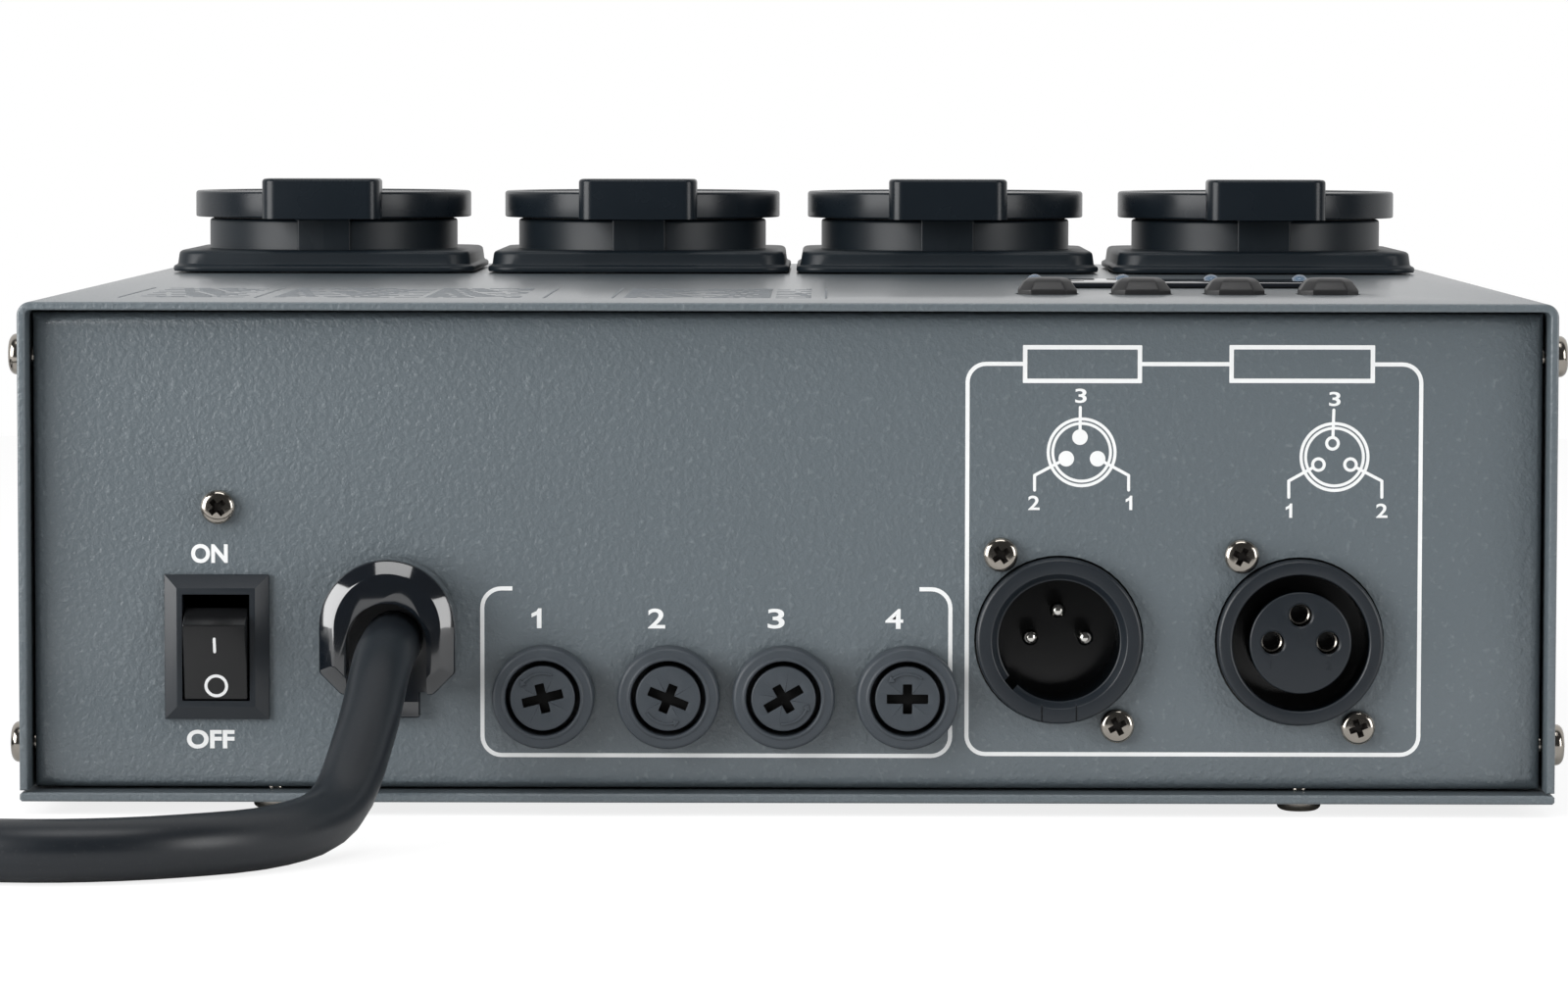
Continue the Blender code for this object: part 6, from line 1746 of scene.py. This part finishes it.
# The groove and the contact holes get painted shade.
darken(female, lambda middle: (
    7.35 * MM < middle.xy.length < 9.95 * MM and DATA_FLOOR - 0.1 * MM < middle.z < 2.0 * MM
    or middle.xy.length < 6.2 * MM and front - 9.1 * MM < middle.z < front - 0.3 * MM
))
female_place = out_of_panel((DATA_OUT.x, PANEL_FACE, CASE_LOW + DATA_OUT_HEIGHT))
female = finished("data_out_barrel", female, [fitting_plastic, bore_painted_shade], female_place, 30)
stands_for(female, "case", "black_plastic", "data_out_connector")
for number, (x, y) in enumerate(CONTACTS, 1):
    outline = [(1.62, -8.8), (1.62, -3.3), (1.5, -3.1), (1.28, -3.2), (1.28, -8.8), (1.62, -8.8)]
    sleeve = spun([(radius * MM, front + depth * MM) for radius, depth in outline], 32)
    sleeve = finished(
        f"data_out_sleeve_{number}", moved(sleeve, x * MM, y * MM), [nickel], female_place
    )
    stands_for(sleeve, "case", "nickel")
raised = [
    ink_text(str(number), x * MM, y * MM, 1.25 * MM)
    for number, x, y in ((3, -0.1, 0.95), (1, -4.35, -3.1), (2, 4.1, -3.3))
]
printed("data_out_numbers", raised, female_place @ Matrix.Translation((0, 0, front)), "case", fitting_plastic)

# %% [markdown]
# ## Marks on the panel and the top
#
# The panel has a frame round the fuses, numbered 1 to 4, and one round the data connectors with a
# small pin diagram for each: filled dots for pins and open dots for holes. The label boxes stay bare.
# Every place is in millimetres from the middle of the case and from its underside. The top has a
# faint ruled table, with short bars in place of its words.

# %% Frames and numbers round the fuses
on_panel = out_of_panel((0, PANEL_FACE, CASE_LOW))


def panel_frame(low, high, corner, width, *gaps):
    """A frame in millimetres. Each gap is the low and the high corner of what is left out."""
    low, high = in_mm(low, high)
    cutters = [block_mm((gap[0], gap[1], -1), (gap[2], gap[3], 1)) for gap in gaps]
    return carved(ink_frame(low, high, corner * MM, width * MM), *cutters)


def panel_text(words, x, y, height, wide, weight=0.016):
    """Words stretched to a height and a width, all in millimetres."""
    if words == "1":
        return ink_one(x * MM, y * MM, wide * MM, height * MM)
    shape = ink_text(words, 0, 0, height * MM, weight)
    width = max(vert.co.x for vert in shape.verts) - min(vert.co.x for vert in shape.verts)
    tall = max(vert.co.y for vert in shape.verts) - min(vert.co.y for vert in shape.verts)
    bmesh.ops.scale(shape, vec=(wide * MM / width, height * MM / tall, 1), verts=shape.verts)
    return moved(shape, x * MM, y * MM)


label_gap, side_gap = (-39.9, 30, 19.25, 33), (22, 10.97, 25, 18.8)
fuse_marks = [panel_frame((-44.58, 6.22), (24.05, 31.14), 3.1, 0.60, label_gap, side_gap)]
fuse_marks += [
    panel_text(str(number), x, 26.5, 2.9, wide)
    for number, x, wide in ((1, -36.4, 1.45), (2, -18.94, 2.5), (3, -1.56, 2.45), (4, 15.6, 2.6))
]
printed("fuse_marks", fuse_marks, on_panel)
HEAVY = 0.034
switch_words = [
    panel_text("ON", -83.93, 35.84, 2.78, 5.33, HEAVY), panel_text("OFF", -83.87, 8.74, 2.74, 6.95, HEAVY),
]
printed("switch_marks", switch_words, on_panel)

# %% Frame, label boxes and pin diagrams round the data connectors
boxes = ((34.14, 60.84, 51.40, 66.35), (64.04, 60.90, 85.12, 66.40))
data_marks = [panel_frame((25.84, 6.52), (92.13, 63.92), 3.0, 0.60, *boxes)]
data_marks += [panel_frame(box[:2], box[2:], 0.12, 0.64) for box in boxes]
male_diagram = (
    (42.70, 50.80), ((42.45, 53.0), (40.48, 49.87), (45.02, 49.87)), (
        ((42.48, 57.32), (42.46, 53.4)),
        ((40.2, 49.75), (35.89, 47.44), (35.90, 45.30)),
        ((45.3, 49.75), (49.53, 47.46), (49.54, 45.33)),
    ), (("3", 42.56, 59.0, 1.66), ("2", 35.81, 43.45, 1.66), ("1", 49.6, 43.47, 0.95)),
)
female_diagram = (
    (79.35, 50.18), ((79.04, 52.17), (77.03, 49.08), (81.67, 49.09)), (
        ((79.20, 57.0), (79.10, 53.1)),
        ((76.2, 48.62), (72.74, 46.70), (72.76, 44.32)),
        ((82.5, 48.66), (86.23, 46.72), (86.25, 44.35)),
    ), (("3", 79.33, 58.6, 1.66), ("1", 72.8, 42.38, 0.95), ("2", 86.26, 42.4, 1.66)),
)
for middle, dots, leads, numbers in (male_diagram, female_diagram):
    x, y = middle[0] * MM, middle[1] * MM
    diagram = [ink_ring(x, y, 5.07 * MM, 4.62 * MM), ink_ring(x, y, 4.40 * MM, 3.98 * MM)]
    for dot_x, dot_y in in_mm(*dots):
        if middle is female_diagram[0]:
            diagram.append(ink_ring(dot_x, dot_y, 1.06 * MM, 0.62 * MM, 32))
        else:
            diagram.append(ink_dot(dot_x, dot_y, 1.13 * MM))
    for lead in leads:
        diagram += ink_stroke(in_mm(*lead), 0.44 * MM)
    data_marks.append(joined(*diagram))
    data_marks += [panel_text(figure, x, y, 2.08, wide) for figure, x, y, wide in numbers]
printed("data_marks", data_marks, on_panel)

# %% Faint table on the top
on_top = Matrix.Translation((0, FRONT, TOP))
rules = [ink_stroke(in_mm((x, 21), (x, 69)), 0.35 * MM)[0] for x in (-99.0, -78.8, -36.1, -26.0, 5.6)]
columns = ((-96, -81), (-76, -40), (-24, 3))
for row in range(12):
    back = (23.5 + 3.9 * row) * MM
    for column, (start, stop) in enumerate(columns):
        x = start
        step = 0
        while x < stop:
            length = 1.2 + (7 * row + 5 * column + 3 * step) % 5 * 0.9
            if (row * 3 + column * 5 + step * 7) % 6:
                rules.append(ink_stroke([(x * MM, back), (min(x + length, stop) * MM, back)], 0.8 * MM)[0])
            x += length + 1.5
            step += 1
printed("top_table", rules, on_top, "case", print_faint)

# %% [markdown]
# ## Compare the sizes
#
# The finer model must stay as large as the CAD one, so the differences between the CAD box and the
# finer model's box are printed.

# %% Sizes
visual_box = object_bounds()
differences = [
    [round((b - a) * 1000, 2) for a, b in zip(cad, visual)] for cad, visual in zip(cad_box, visual_box)
]
print("sizes differ by (mm):", differences)
